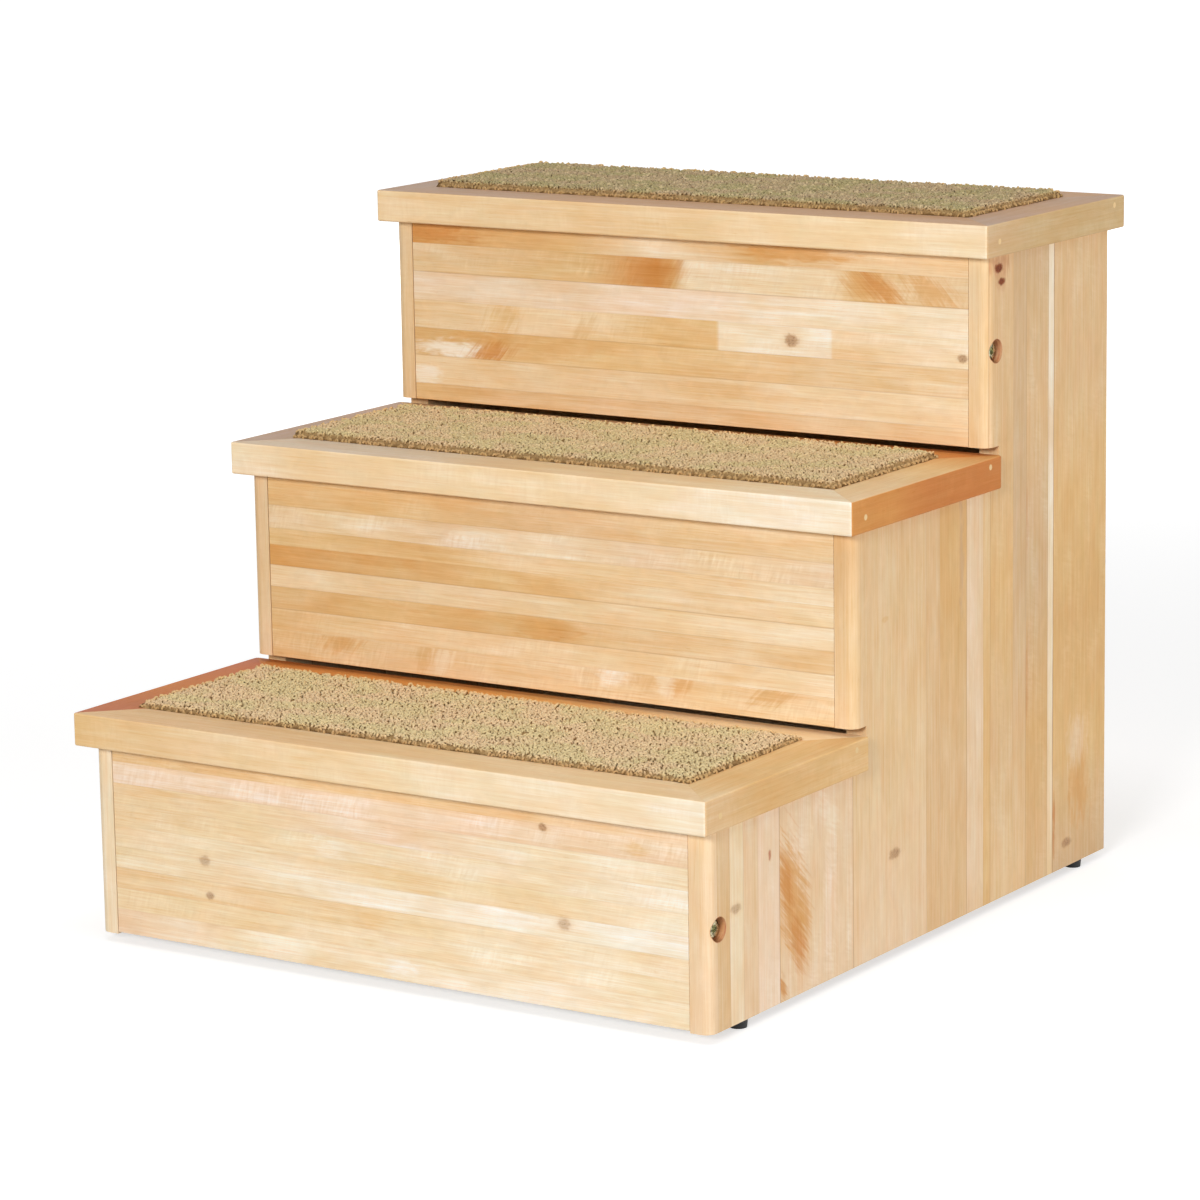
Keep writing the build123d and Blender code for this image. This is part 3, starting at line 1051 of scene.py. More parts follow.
@dataclass(frozen=True)
class BackingFinish:
    """The woven backing that the loops stand in, with painted shade in the pits at its edge.

    Attributes:
        name: The material's name.
        base: Its colour.
        pit_shade: Colour of the pits, painted shade.
        thread: Distance between its threads, in millimetres.
        fuzz: Size of the fluff on it.
        pits: Size of the pits.
        depth: Depth of its surface, in metres.
    """

    name: str
    base: Rgb = (180, 146, 98)
    pit_shade: Rgb = (112, 82, 48)
    thread: float = 1.3
    fuzz: Size = (0.6, 0.6, 0.6)
    pits: Size = (3.5, 3.5, 3.5)
    depth: float = 0.0003

    def material(self) -> bpy.types.Material:
        """Build the material.

        Returns:
            The material.
        """
        made, graph = shader(self.name)
        x, y, _ = graph.object_axes().values()
        warp, weft = (graph.math("SINE", way * math.tau / self.thread) for way in (x, y))
        weave = warp * weft
        fuzz = graph.speckle(self.fuzz)
        # Painted shade in the pits between the loops, near the edge.
        pits = attribute(graph, LOOP_EDGE) * graph.smooth(graph.speckle(self.pits), -0.12, 0.06)
        colour = graph.blend(pits, linear(self.base), linear(self.pit_shade))
        light = 1 + weave * 0.14 + fuzz * 0.5
        colour = graph.blend(1.0, colour, graph.vector(light, light, light), "MULTIPLY")
        inputs = {"Base Color": colour, "Roughness": 0.95 + fuzz * 0.05, "Specular IOR Level": 0.15}
        close_surface(graph, inputs, weave * 0.5 + fuzz, self.depth)
        return made


def dress(node: str, material: bpy.types.Material) -> None:
    """Give a CAD node its material.

    Args:
        node: The node's name.
        material: Its finish.
    """
    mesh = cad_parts[node].data
    mesh.materials.clear()
    mesh.materials.append(material)
    log.info("%s: %s", node, material.name)


# Boards


def plain(width: float, *tones: Tone, curl: float = 0.3, joint: float = 0.15) -> Stave:
    """A stave whose tones are spread evenly along it."""
    return Stave(width, along(*tones), curl, joint)


@dataclass(frozen=True)
class Risers:
    """The three risers, each of level staves.

    Attributes:
        seeds: Moves the figure, from the bottom riser up.
        pale: How much less yellow each riser is.
    """

    seeds: tuple[float, ...] = (3.1, 9.7, 21.3)
    pale: tuple[float, ...] = (0.0, 0.012, 0.014)

    def staves(self) -> dict[str, tuple[Stave, ...]]:
        """Give the staves of each riser.

        Returns:
            The staves by step, from the riser's top edge down.
        """
        t = Tone
        bottom = (
            # Top stave: its darker tones are partly painted shade under the tread's nosing.
            plain(8.5, t.SAND, t.PEACH, t.ROSE, curl=0.6, joint=0.05),
            plain(11.8, t.PINK, t.PINK, t.PINK, t.ROSE, curl=1.0, joint=0.1),
            plain(11.7, t.PEACH, t.BUTTER, t.PINK, t.PALE, t.PALE, joint=0.06),
            plain(11.8, t.BUTTER, t.BUTTER, t.PALE, t.PALE, t.CREAM, curl=0.8, joint=0.06),
            plain(11.8, t.BUTTER, t.PALE, t.BUTTER, t.BUTTER, t.PALE, joint=0.08),
            plain(11.6, t.BUTTER, t.PALE, t.CREAM, t.CREAM, t.MILK, curl=0.2, joint=0.12),
            plain(11.6, t.PEACH, t.PEACH, t.BUTTER, t.PALE, t.PALE, joint=0.06),
            plain(11.5, t.BUTTER, t.BUTTER, t.PALE, t.PALE, t.PALE, curl=0.5, joint=0.04),
            plain(13, t.PINK, t.PALE, t.PALE, t.CREAM, t.PALE, curl=0.2),
        )
        middle = (
            plain(17.5, t.HONEY, t.HONEY, t.TAN, t.SAND, t.SAND, joint=0.15),
            plain(
                13, t.SAND, t.BUTTER, t.ROSE, t.PALE, t.ROSE, t.PEACH, t.ROSE, curl=1.0, joint=0.1
            ),
            plain(9.5, t.HONEY, t.HONEY, t.PEACH, t.PEACH, t.PALE, joint=0.05),
            plain(11.5, t.ORANGE, t.OCHRE, t.HONEY, t.SAND, t.BUTTER, curl=0.2, joint=0.3),
            plain(12.2, t.PEACH, t.SAND, t.SAND, t.BUTTER, t.PALE, curl=0.1, joint=0.15),
            plain(12.5, t.OCHRE, t.HONEY, t.OCHRE, t.SAND, t.SAND, curl=0.2, joint=0.25),
            plain(12, t.HONEY, t.PEACH, t.PEACH, t.BUTTER, t.PALE, curl=0.6, joint=0.05),
            plain(16, t.HONEY, t.SAND, t.PEACH, t.PEACH, t.PEACH, curl=0.8),
        )
        top = (
            Stave(
                12.5,
                ((0, t.ORANGE), (0.3, t.HONEY), (0.46, t.PALE), (0.64, t.OCHRE), (0.85, t.PEACH)),
                0.3,
                0.1,
            ),
            Stave(
                16.5,
                (
                    (0, t.SAND),
                    (0.33, t.HONEY),
                    (0.46, t.AMBER),
                    (0.49, t.OCHRE),
                    (0.515, t.PALE),
                    (0.76, t.BUTTER),
                    (0.81, t.HONEY),
                    (1, t.SAND),
                ),
                0.7,
                0.3,
            ),
            plain(16.5, t.ROSE, t.ROSE, t.PINK, t.PALE, t.PALE, curl=0.2, joint=0.08),
            Stave(
                16.25,
                (
                    (0, t.SAND),
                    (0.3, t.PEACH),
                    (0.46, t.HONEY),
                    (0.565, t.HONEY),
                    (0.57, t.PALE),
                    (0.765, t.CREAM),
                    (0.77, t.PEACH),
                    (1, t.PALE),
                ),
                0.4,
                0.2,
            ),
            plain(16, t.OCHRE, t.HONEY, t.HONEY, t.SAND, t.SAND, curl=0.2, joint=0.2),
            plain(16.5, t.PEACH, t.SAND, t.SAND, t.BUTTER, t.BUTTER, curl=0.2, joint=0.15),
            plain(10, t.OCHRE, t.TAN, t.TAN, t.SAND, t.PEACH, curl=0.2),
        )
        return {"bottom": bottom, "middle": middle, "top": top}

    def knots(self) -> dict[str, tuple[Knot, ...]]:
        """Give the knots of each riser.

        Returns:
            The knots by step, placed from the riser's left end and its top edge.
        """
        return {
            "bottom": (
                Knot(61, 56, 3.2, strength=0.45),
                Knot(64, 75, 2.3),
                Knot(279, 10, 2.3),
                Knot(291, 59, 3.3, strength=0.4),
            ),
            "middle": (),
            "top": (Knot(255, 53, 3.8), Knot(362, 56, 2.6)),
        }

    def flames(self) -> dict[str, tuple[Flame, ...]]:
        """Give the patches of heartwood in each riser, and one of painted shade under the bottom
        tread's nosing.

        Returns:
            The patches by step, placed as the knots are.
        """
        return {
            "bottom": (
                Flame(336, 14, 9, 4, Tone.HONEY, 0.6),
                # Painted shade under the bottom tread's nosing, along the riser's top edge.
                Flame(60, 4, 50, 5, Tone.OCHRE, 0.5),
                Flame(150, 37, 16, 7, Tone.CREAM, 0.8),
                Flame(188, 96, 12, 6, Tone.MILK, 0.7),
                Flame(172, 73, 16, 6, Tone.HONEY, 0.3),
                Flame(345, 71, 14, 7, Tone.SAND, 0.5),
            ),
            "middle": (
                Flame(48, 91, 14, 8, Tone.ORANGE, 0.6, 0.8),
                Flame(106, 92, 8, 10, Tone.OCHRE, 0.7, 0.3),
                Flame(118, 93, 8, 9, Tone.PALE, 0.7, 0.3),
                Flame(228, 92, 11, 8, Tone.CREAM, 0.8),
                Flame(249, 92, 8, 9, Tone.OCHRE, 0.5),
                Flame(270, 91, 9, 8, Tone.ORANGE, 0.5, 0.5),
                Flame(262, 92, 6, 8, Tone.CREAM, 0.6),
                Flame(330, 91, 13, 8, Tone.OCHRE, 0.8, 1.0),
                Flame(186, 69, 24, 8, Tone.ORANGE, 0.6),
                Flame(130, 67, 60, 3, Tone.ORANGE, 0.3),
                Flame(72, 42, 40, 5, Tone.ORANGE, 0.5),
                Flame(110, 36, 12, 5, Tone.OCHRE, 0.5),
                Flame(66, 24, 22, 5, Tone.PALE, 0.7),
                Flame(140, 24, 20, 6, Tone.CREAM, 0.6),
            ),
            "top": (
                Flame(30, 73, 30, 6, Tone.CREAM, 0.8),
                Flame(48, 66, 30, 5, Tone.ORANGE, 0.7),
                Flame(54, 73, 16, 7, Tone.AMBER, 0.9, 0.8),
                Flame(62, 54, 13, 12, Tone.HONEY, 0.8, 0.5),
                Flame(90, 68, 40, 7, Tone.ORANGE, 0.35),
                Flame(118, 56, 8, 9, Tone.OCHRE, 0.6, 0.5),
                Flame(160, 21, 24, 10, Tone.AMBER, 0.45, 0.5),
                Flame(176, 21, 8, 12, Tone.AMBER, 0.55, 0.5),
                Flame(306, 21, 18, 12, Tone.ORANGE, 0.7, -1.0),
                Flame(312, 22, 12, 11, Tone.AMBER, 0.75, -1.1),
                Flame(342, 20, 16, 11, Tone.ORANGE, 0.6, -0.9),
                Flame(12, 6, 34, 8, Tone.AMBER, 0.8),
                Flame(258, 5, 36, 6, Tone.ORANGE, 0.7),
                Flame(190, 72, 80, 5, Tone.HONEY, 0.5),
                Flame(8, 89, 12, 6, Tone.CREAM, 0.8),
            ),
        }

    def dress(self) -> None:
        """Finish the three risers."""
        for step, seed, pale in zip(STEPS, self.seeds, self.pale):
            node = f"{step}_riser"
            finish = WoodFinish(
                f"{node}_wood",
                node,
                Grain.RISER,
                self.staves()[step],
                downward=True,
                knots=self.knots()[step],
                flames=self.flames()[step],
                seed=seed,
                pale=pale,
            )
            dress(node, finish.material())


@dataclass(frozen=True)
class SidePanels:
    """The two stepped side panels, each of upright staves.

    Attributes:
        bolts: Places of the bolt holes, up from the floor and back from the front edge.
        figure: Strength of the figure.
    """

    bolts: tuple[tuple[float, float], ...] = ((53, 9), (305, 297))
    figure: float = 0.8

    def right_staves(self) -> tuple[Stave, ...]:
        """Give the staves of the panel that the photograph shows.

        Returns:
            The staves, from the front edge back.
        """
        t = Tone
        return (
            plain(7.5, t.ROSE, t.PEACH, t.BUTTER, joint=0.1),
            plain(12, t.TAN, t.TAN, t.SAND, curl=0.2, joint=0.15),
            plain(13, t.PALE, t.BUTTER, curl=0.1, joint=0.2),
            plain(14, t.ROSE, t.SAND, curl=0.3, joint=0.1),
            plain(21, t.PINK, t.ROSE, curl=0.3, joint=0.6),
            plain(74, t.ROSE, t.ROSE, t.SAND, t.ROSE, curl=0.6, joint=0.5),
            plain(78, t.ROSE, t.SAND, t.TAN, t.TAN, curl=0.1, joint=0.2),
            plain(15, t.TAN, t.TAN, t.TAN, t.HONEY, curl=0.1, joint=0.15),
            plain(29.5, t.TAN, t.TAN, t.OCHRE, t.OCHRE, t.TAN, curl=0.1, joint=0.35),
            plain(18.5, t.ROSE, t.ROSE, t.SAND, curl=0.1, joint=0.1),
            plain(8, t.HONEY, t.HONEY, t.SAND, t.SAND, curl=0.1, joint=0.3),
            plain(26, t.SAND, t.TAN, t.HONEY, t.TAN, t.TAN, curl=0.3, joint=0.1),
            plain(15, t.SAND, t.TAN, t.GREY_TAN, t.GREY_TAN, t.GREY_TAN, curl=0.1, joint=0.3),
            plain(25.5, t.TAN, t.OCHRE, t.GREY_TAN, t.TAN, t.GREY_TAN, curl=0.5, joint=0.25),
            plain(6.6, t.BUTTER, t.PALE, t.PALE, t.CREAM, t.CREAM, curl=0.0, joint=0.8),
            plain(63.7, t.GREY_TAN, t.HONEY, t.OCHRE, t.HONEY, t.TAN, t.TAN, curl=0.4),
        )

    def left_staves(self) -> tuple[Stave, ...]:
        """Give the staves of the panel that the photograph hides.

        Returns:
            The staves, from the front edge back.
        """
        t = Tone
        return (
            plain(30, t.PALE, t.PALE, joint=0.3),
            plain(52, t.TAN, t.SAND, t.TAN, curl=0.6, joint=0.6),
            plain(61, t.PEACH, t.TAN, t.TAN, joint=0.4),
            plain(38, t.SAND, t.TAN, curl=0.2, joint=0.5),
            plain(70, t.TAN, t.GREY_TAN, t.TAN, curl=0.9, joint=0.5),
            plain(27, t.BUTTER, t.BUTTER, curl=0.1, joint=0.3),
            plain(66, t.SAND, t.TAN, t.SAND, joint=0.6),
            plain(83, t.TAN, t.SAND, curl=0.4),
        )

    def dress(self) -> None:
        """Finish both panels."""
        knots = (
            Knot(60, 25, 5.4, strength=0.45, stretch=0.5),
            Knot(52, 185, 6.8, strength=0.6, stretch=0.45),
            Knot(180, 176, 3.6, Tone.OCHRE, Tone.OCHRE, 0.6, 0.5),
            Knot(80, 58, 1.3, Tone.RUSSET, Tone.RUSSET, 0.7, 2.4),
            Knot(14, 380.5, 6.8, strength=0.65, stretch=0.45),
            Knot(349.5, 299.5, 4.8, Tone.KNOT_RED, Tone.KNOT_DARK, 1.0, 0.6),
            Knot(342, 303, 4.0, Tone.KNOT_RED, Tone.KNOT_DARK, 1.0, 0.55),
        )
        flames = (
            Flame(100, 100, 30, 26, Tone.PINK, 0.15, -0.8),
            Flame(52, 80, 34, 15, Tone.ORANGE, 0.8, 0.9),
            Flame(62, 74, 18, 8, Tone.AMBER, 0.7, 0.9),
            Flame(28, 86, 16, 10, Tone.AMBER, 0.75, 0.9),
            Flame(46, 92, 20, 7, Tone.ORANGE, 0.6, 0.9),
            Flame(88, 118, 10, 12, Tone.CREAM, 0.45, 0.5),
            Flame(40, 118, 34, 8, Tone.PINK, 0.7, 0.9),
            Flame(8, 70, 7, 5, Tone.AMBER, 0.8, 0.9),
            Flame(42, 395, 24, 13, Tone.ORANGE, 0.6),
            Flame(70, 392, 16, 13, Tone.ROSE, 0.6),
            Flame(352, 300, 6, 16, Tone.RUSSET, 0.45),
            Flame(346, 302, 9, 7, Tone.RUSSET, 0.35),
            Flame(210, 332, 24, 3, Tone.CHESTNUT, 0.3),
            Flame(120, 333, 30, 2.4, Tone.CHESTNUT, 0.35),
            Flame(28, 365.5, 26, 1.6, Tone.CHESTNUT, 0.6),
            Flame(200, 258, 40, 3, Tone.UMBER, 0.5),
            Flame(335, 2, 10, 8, Tone.HONEY, 0.5),
            Flame(250, 360, 22, 12, Tone.ROSE, 0.6),
        )
        right = WoodFinish(
            "right_panel_wood",
            "right_side_panel",
            Grain.PANEL,
            self.right_staves(),
            knots=knots,
            flames=flames,
            seed=5.0,
            figure=self.figure,
            bores=self.bolts,
        )
        left = WoodFinish(
            "left_panel_wood",
            "left_side_panel",
            Grain.PANEL,
            self.left_staves(),
            knots=(Knot(90, 60, 3.8), Knot(210, 250, 3.2), Knot(40, 340, 4.0)),
            flames=(Flame(60, 230, 40, 16, Tone.ORANGE, 0.6, 0.2), Flame(250, 390, 30, 14)),
            seed=15.0,
            figure=self.figure,
            bores=self.bolts,
        )
        dress("right_side_panel", right.material())
        dress("left_side_panel", left.material())


@dataclass(frozen=True)
class BackPanel:
    """The board that closes the rear, of level staves.

    Attributes:
        pitch: Width of a stave, in millimetres.
        seed: Moves the figure.
    """

    pitch: float = 34.0
    seed: float = 33.0

    def dress(self) -> None:
        """Finish the back."""
        t = Tone
        row = (
            (t.TAN, t.PEACH, t.SAND),
            (t.PALE, t.BUTTER),
            (t.SAND, t.TAN, t.HONEY),
            (t.PEACH, t.PEACH, t.TAN),
            (t.TAN, t.SAND),
            (t.BUTTER, t.PALE, t.SAND),
            (t.HONEY, t.PEACH),
            (t.SAND, t.ROSE, t.TAN),
            (t.PALE, t.PEACH),
            (t.TAN, t.TAN, t.SAND),
            (t.PEACH, t.BUTTER),
        )
        staves = tuple(plain(self.pitch, *tones, curl=0.5, joint=0.35) for tones in row)
        finish = WoodFinish(
            "back_panel_wood",
            "back_panel",
            Grain.RISER,
            staves,
            downward=True,
            knots=(Knot(90, 70, 3.6), Knot(280, 190, 4.0), Knot(150, 300, 3.0)),
            flames=(Flame(240, 120, 40, 10), Flame(70, 230, 34, 9, Tone.HONEY)),
            seed=self.seed,
        )
        dress("back_panel", finish.material())


# Treads


@dataclass(frozen=True)
class Rail:
    """Tones of one rail, from its left or front end on.

    Attributes:
        side: Along its upright faces.
        crown_and_shade: Along its upward face, partly its own tones and partly painted shade where
            the light grazes the tops.
    """

    side: Stops
    crown_and_shade: Stops


@dataclass(frozen=True)
class TreadFrame:
    """The four mitred rails of one tread.

    Attributes:
        step: The tread's name.
        front: Tones of the front rail.
        rear: Tones of the rear rail.
        left: Tones of the left rail.
        right: Tones of the right rail.
        seed: Moves the figure.
        stride: How much further the figure moves from rail to rail.
        curl: Strength of the cross figure.
        figure: Strength of the figure as a whole.
    """

    step: str
    front: Rail
    rear: Rail
    left: Rail
    right: Rail
    seed: float
    stride: float = 4.7
    curl: float = 0.35
    figure: float = 0.8

    def dress(self) -> None:
        """Finish the rails."""
        rails = {"front": self.front, "rear": self.rear, "left": self.left, "right": self.right}
        for number, (name, rail) in enumerate(rails.items()):
            node = f"{self.step}_{name}_rail"
            finish = WoodFinish(
                f"{node}_wood",
                node,
                Grain.SIDE_RAIL if name in SIDES else Grain.CROSS_RAIL,
                (Stave(1.0, rail.side, self.curl, 0.0),),
                seed=self.seed + number * self.stride,
                figure=self.figure,
                crown_and_shade=rail.crown_and_shade,
            )
            dress(node, finish.material())


# Carpets


@dataclass(frozen=True)
class LoopPile:
    """Geometry Nodes that stand short yarn loops on a flat inlay.

    Attributes:
        pitch: Mean distance between loops, in metres.
        stray: How far a loop may stand off its place.
        yarn: Radius of the yarn.
        span: Half the distance between a loop's feet.
        rise: Height of a loop's arch.
        lean: Greatest tilt, in radians.
        row: Distance between the tufting rows, along which loops are missing.
        fringe: Width of the edge, where the loops stand lower and less close.
        bob: How far a loop may stand high or low, as a share of its stray.
        bends: Steps along a loop's arch and round its yarn.
        least: Lowest scale of a loop, along X, Y and Z.
        most: Its highest scale.
        row_gaps: Chance that a loop is missing from a tufting row.
        edge_gaps: Chance that one is missing at the very edge.
        stray_gaps: Chance that one is missing anywhere.
    """

    pitch: float = 2.4 * MM
    stray: float = 0.8 * MM
    yarn: float = 0.72 * MM
    span: float = 0.95 * MM
    rise: float = 1.4 * MM
    lean: float = 0.45
    row: float = 20.0 * MM
    fringe: float = 3.6 * MM
    bob: float = 0.3
    bends: int = 4
    least: Size = (0.85, 0.85, 0.8)
    most: Size = (1.2, 1.2, 1.12)
    row_gaps: float = 0.35
    edge_gaps: float = 0.8
    stray_gaps: float = 0.006

    def tree(self) -> bpy.types.GeometryNodeTree:
        """Build the node tree, with its sizes as named inputs.

        Returns:
            The tree.
        """
        tree = bpy.data.node_groups.new("loop_pile", "GeometryNodeTree")
        tree.is_modifier = True
        sockets = (
            ("Geometry", "NodeSocketGeometry"),
            ("Width", "NodeSocketFloat"),
            ("Depth", "NodeSocketFloat"),
            ("Columns", "NodeSocketInt"),
            ("Rows", "NodeSocketInt"),
            ("Middle", "NodeSocketVector"),
            ("Stray", "NodeSocketFloat"),
            ("Yarn", "NodeSocketFloat"),
            ("Span", "NodeSocketFloat"),
            ("Rise", "NodeSocketFloat"),
            ("Lean", "NodeSocketFloat"),
            ("Row Pitch", "NodeSocketFloat"),
            ("Fringe", "NodeSocketFloat"),
            ("Drop", "NodeSocketFloat"),
            ("Seed", "NodeSocketInt"),
            ("Material", "NodeSocketMaterial"),
        )
        for name, kind in sockets:
            tree.interface.new_socket(name, in_out="INPUT", socket_type=kind)
        tree.interface.new_socket("Geometry", in_out="OUTPUT", socket_type="NodeSocketGeometry")
        graph = Graph(tree)
        start = tree.nodes.new("NodeGroupInput")
        given = {name: Signal(graph, start.outputs[name]) for name, _ in sockets}
        loops = self._instances(graph, given, self._places(graph, given), self._loop(graph, given))
        shaded = graph.node("GeometryNodeSetShadeSmooth", None, {"Geometry": loops})
        real = graph.node("GeometryNodeRealizeInstances", None, {"Geometry": shaded})
        done = graph.node(
            "GeometryNodeSetMaterial", None, {"Geometry": real, "Material": given["Material"]}
        )
        end = tree.nodes.new("NodeGroupOutput")
        tree.links.new(done.socket, end.inputs[0])
        return tree

    def _places(self, graph: Graph, given: dict[str, Signal]) -> Signal:
        """Points on a grid about the origin, each moved a little at random.

        The front and right edges droop. The left and rear ones are pushed up by the rails.

        Args:
            graph: The tree's graph.
            given: The tree's inputs.

        Returns:
            The points.
        """
        grid = graph.node(
            "GeometryNodeMeshGrid",
            None,
            {
                "Size X": given["Width"],
                "Size Y": given["Depth"],
                "Vertices X": given["Columns"],
                "Vertices Y": given["Rows"],
            },
        )
        stray = given["Stray"]
        drift = self._random(
            graph,
            given["Seed"],
            graph.vector(stray * -1, stray * -1, stray * -self.bob),
            graph.vector(stray, stray, stray * self.bob),
        )
        fall = graph.vector(0.0, 0.0, self._edge(graph, given, False) * given["Drop"] * -1)
        bowed = graph.node("GeometryNodeSetPosition", None, {"Geometry": grid, "Offset": fall})
        return graph.node("GeometryNodeSetPosition", None, {"Geometry": bowed, "Offset": drift})

    @staticmethod
    def _random(graph: Graph, seed: Signal, least: Any, most: Any) -> Signal:
        """A random vector for each point or loop.

        Args:
            graph: The tree's graph.
            seed: Its seed.
            least: The lowest value of each part.
            most: The highest value of each part.

        Returns:
            The random vector.
        """
        inputs = {0: least, 1: most, "Seed": seed}
        return graph.node("FunctionNodeRandomValue", {"data_type": "FLOAT_VECTOR"}, inputs)

    @staticmethod
    def _chance(graph: Graph, seed: Signal) -> Signal:
        """Draw a random number from 0 to 1 for each point or loop."""
        inputs = {2: 0.0, 3: 1.0, "Seed": seed}
        return graph.node("FunctionNodeRandomValue", {"data_type": "FLOAT"}, inputs, 1)

    def _loop(self, graph: Graph, given: dict[str, Signal]) -> Signal:
        """Make one loop of yarn, standing on its two feet.

        Args:
            graph: The tree's graph.
            given: The tree's inputs.

        Returns:
            The loop's mesh.
        """
        arch = graph.node(
            "GeometryNodeCurveArc",
            {"mode": "RADIUS"},
            {
                "Resolution": self.bends,
                "Radius": given["Span"],
                "Start Angle": 0.0,
                "Sweep Angle": math.pi,
            },
        )
        upright = graph.node(
            "GeometryNodeTransform", None, {"Geometry": arch, "Rotation": (math.pi / 2, 0.0, 0.0)}
        )
        tall = graph.node(
            "GeometryNodeTransform",
            None,
            {"Geometry": upright, "Scale": graph.vector(1.0, 1.0, given["Rise"] / given["Span"])},
        )
        ring = graph.node(
            "GeometryNodeCurvePrimitiveCircle",
            {"mode": "RADIUS"},
            {"Resolution": self.bends, "Radius": given["Yarn"]},
        )
        inputs = {"Curve": tall, "Profile Curve": ring, "Fill Caps": True}
        return graph.node("GeometryNodeCurveToMesh", None, inputs)

    def _edge(self, graph: Graph, given: dict[str, Signal], all_round: bool = True) -> Signal:
        """1 at the inlay's edge, falling to 0 inside the fringe.

        Args:
            graph: The tree's graph.
            given: The tree's inputs.
            all_round: False for the front and right edges only.

        Returns:
            How near the edge each point is.
        """
        place = graph.node("GeometryNodeInputPosition")
        split = graph.node("ShaderNodeSeparateXYZ", None, {0: place}).socket.node.outputs
        right, rear = Signal(graph, split["X"]), Signal(graph, split["Y"])
        if all_round:
            right, rear = graph.math("ABSOLUTE", right), graph.math("ABSOLUTE", rear) * -1
        from_side = given["Width"] * 0.5 - right
        from_front = given["Depth"] * 0.5 + rear
        nearest = graph.math("MINIMUM", from_side, from_front) / given["Fringe"]
        return graph.smooth(nearest, 1.0, 0.0)

    def _kept(self, graph: Graph, given: dict[str, Signal], edge: Signal) -> Signal:
        """Leave gaps along the rows and in the fringe.

        Args:
            graph: The tree's graph.
            given: The tree's inputs.
            edge: How near the edge each place is.

        Returns:
            1 where a loop stands, else 0.
        """
        place = graph.node("GeometryNodeInputPosition")
        split = graph.node("ShaderNodeSeparateXYZ", None, {0: place}).socket.node.outputs
        x, y = Signal(graph, split["X"]) / MM, Signal(graph, split["Y"])
        sway = graph.noise(graph.vector(x / 22, y / given["Row Pitch"], given["Seed"])) * 0.5
        phase = graph.math("FRACT", y / given["Row Pitch"] + sway + 8)
        row = graph.smooth(graph.math("ABSOLUTE", phase - 0.5), 0.14, 0.04)
        dashes = graph.smooth(graph.noise(graph.vector(x / 7, y / 0.02, given["Seed"])), 0.0, 0.1)
        clumps = graph.smooth(graph.noise(graph.vector(x / 5, y / 0.005, given["Seed"])), 0.0, 0.1)
        odds = row * dashes * self.row_gaps + edge * clumps * self.edge_gaps + self.stray_gaps
        return self._chance(graph, given["Seed"] + 5) > odds

    def _instances(
        self, graph: Graph, given: dict[str, Signal], places: Signal, loop: Signal
    ) -> Signal:
        """Stand the loops on their places, turned and sized at random, each with its shade.

        Args:
            graph: The tree's graph.
            given: The tree's inputs.
            places: Where the loops stand.
            loop: One loop.

        Returns:
            The loops as instances.
        """
        edge = self._edge(graph, given)
        lean, seed = given["Lean"], given["Seed"]
        turn = self._random(
            graph,
            seed + 1,
            graph.vector(lean * -1, lean * -1, 0.0),
            graph.vector(lean, lean, math.tau),
        )
        size = self._random(graph, seed + 2, self.least, self.most)
        stood = graph.node(
            "GeometryNodeInstanceOnPoints",
            None,
            {
                "Points": places,
                "Selection": self._kept(graph, given, edge),
                "Instance": loop,
                "Rotation": turn,
                "Scale": size,
            },
        )
        marked = stood
        for name, value in ((LOOP_SHADE, self._chance(graph, seed + 3)), (LOOP_EDGE, edge)):
            marked = graph.node(
                "GeometryNodeStoreNamedAttribute",
                {"data_type": "FLOAT", "domain": "INSTANCE"},
                {"Geometry": marked, "Name": name, "Value": value},
            )
        return graph.node(
            "GeometryNodeTransform", None, {"Geometry": marked, "Translation": given["Middle"]}
        )


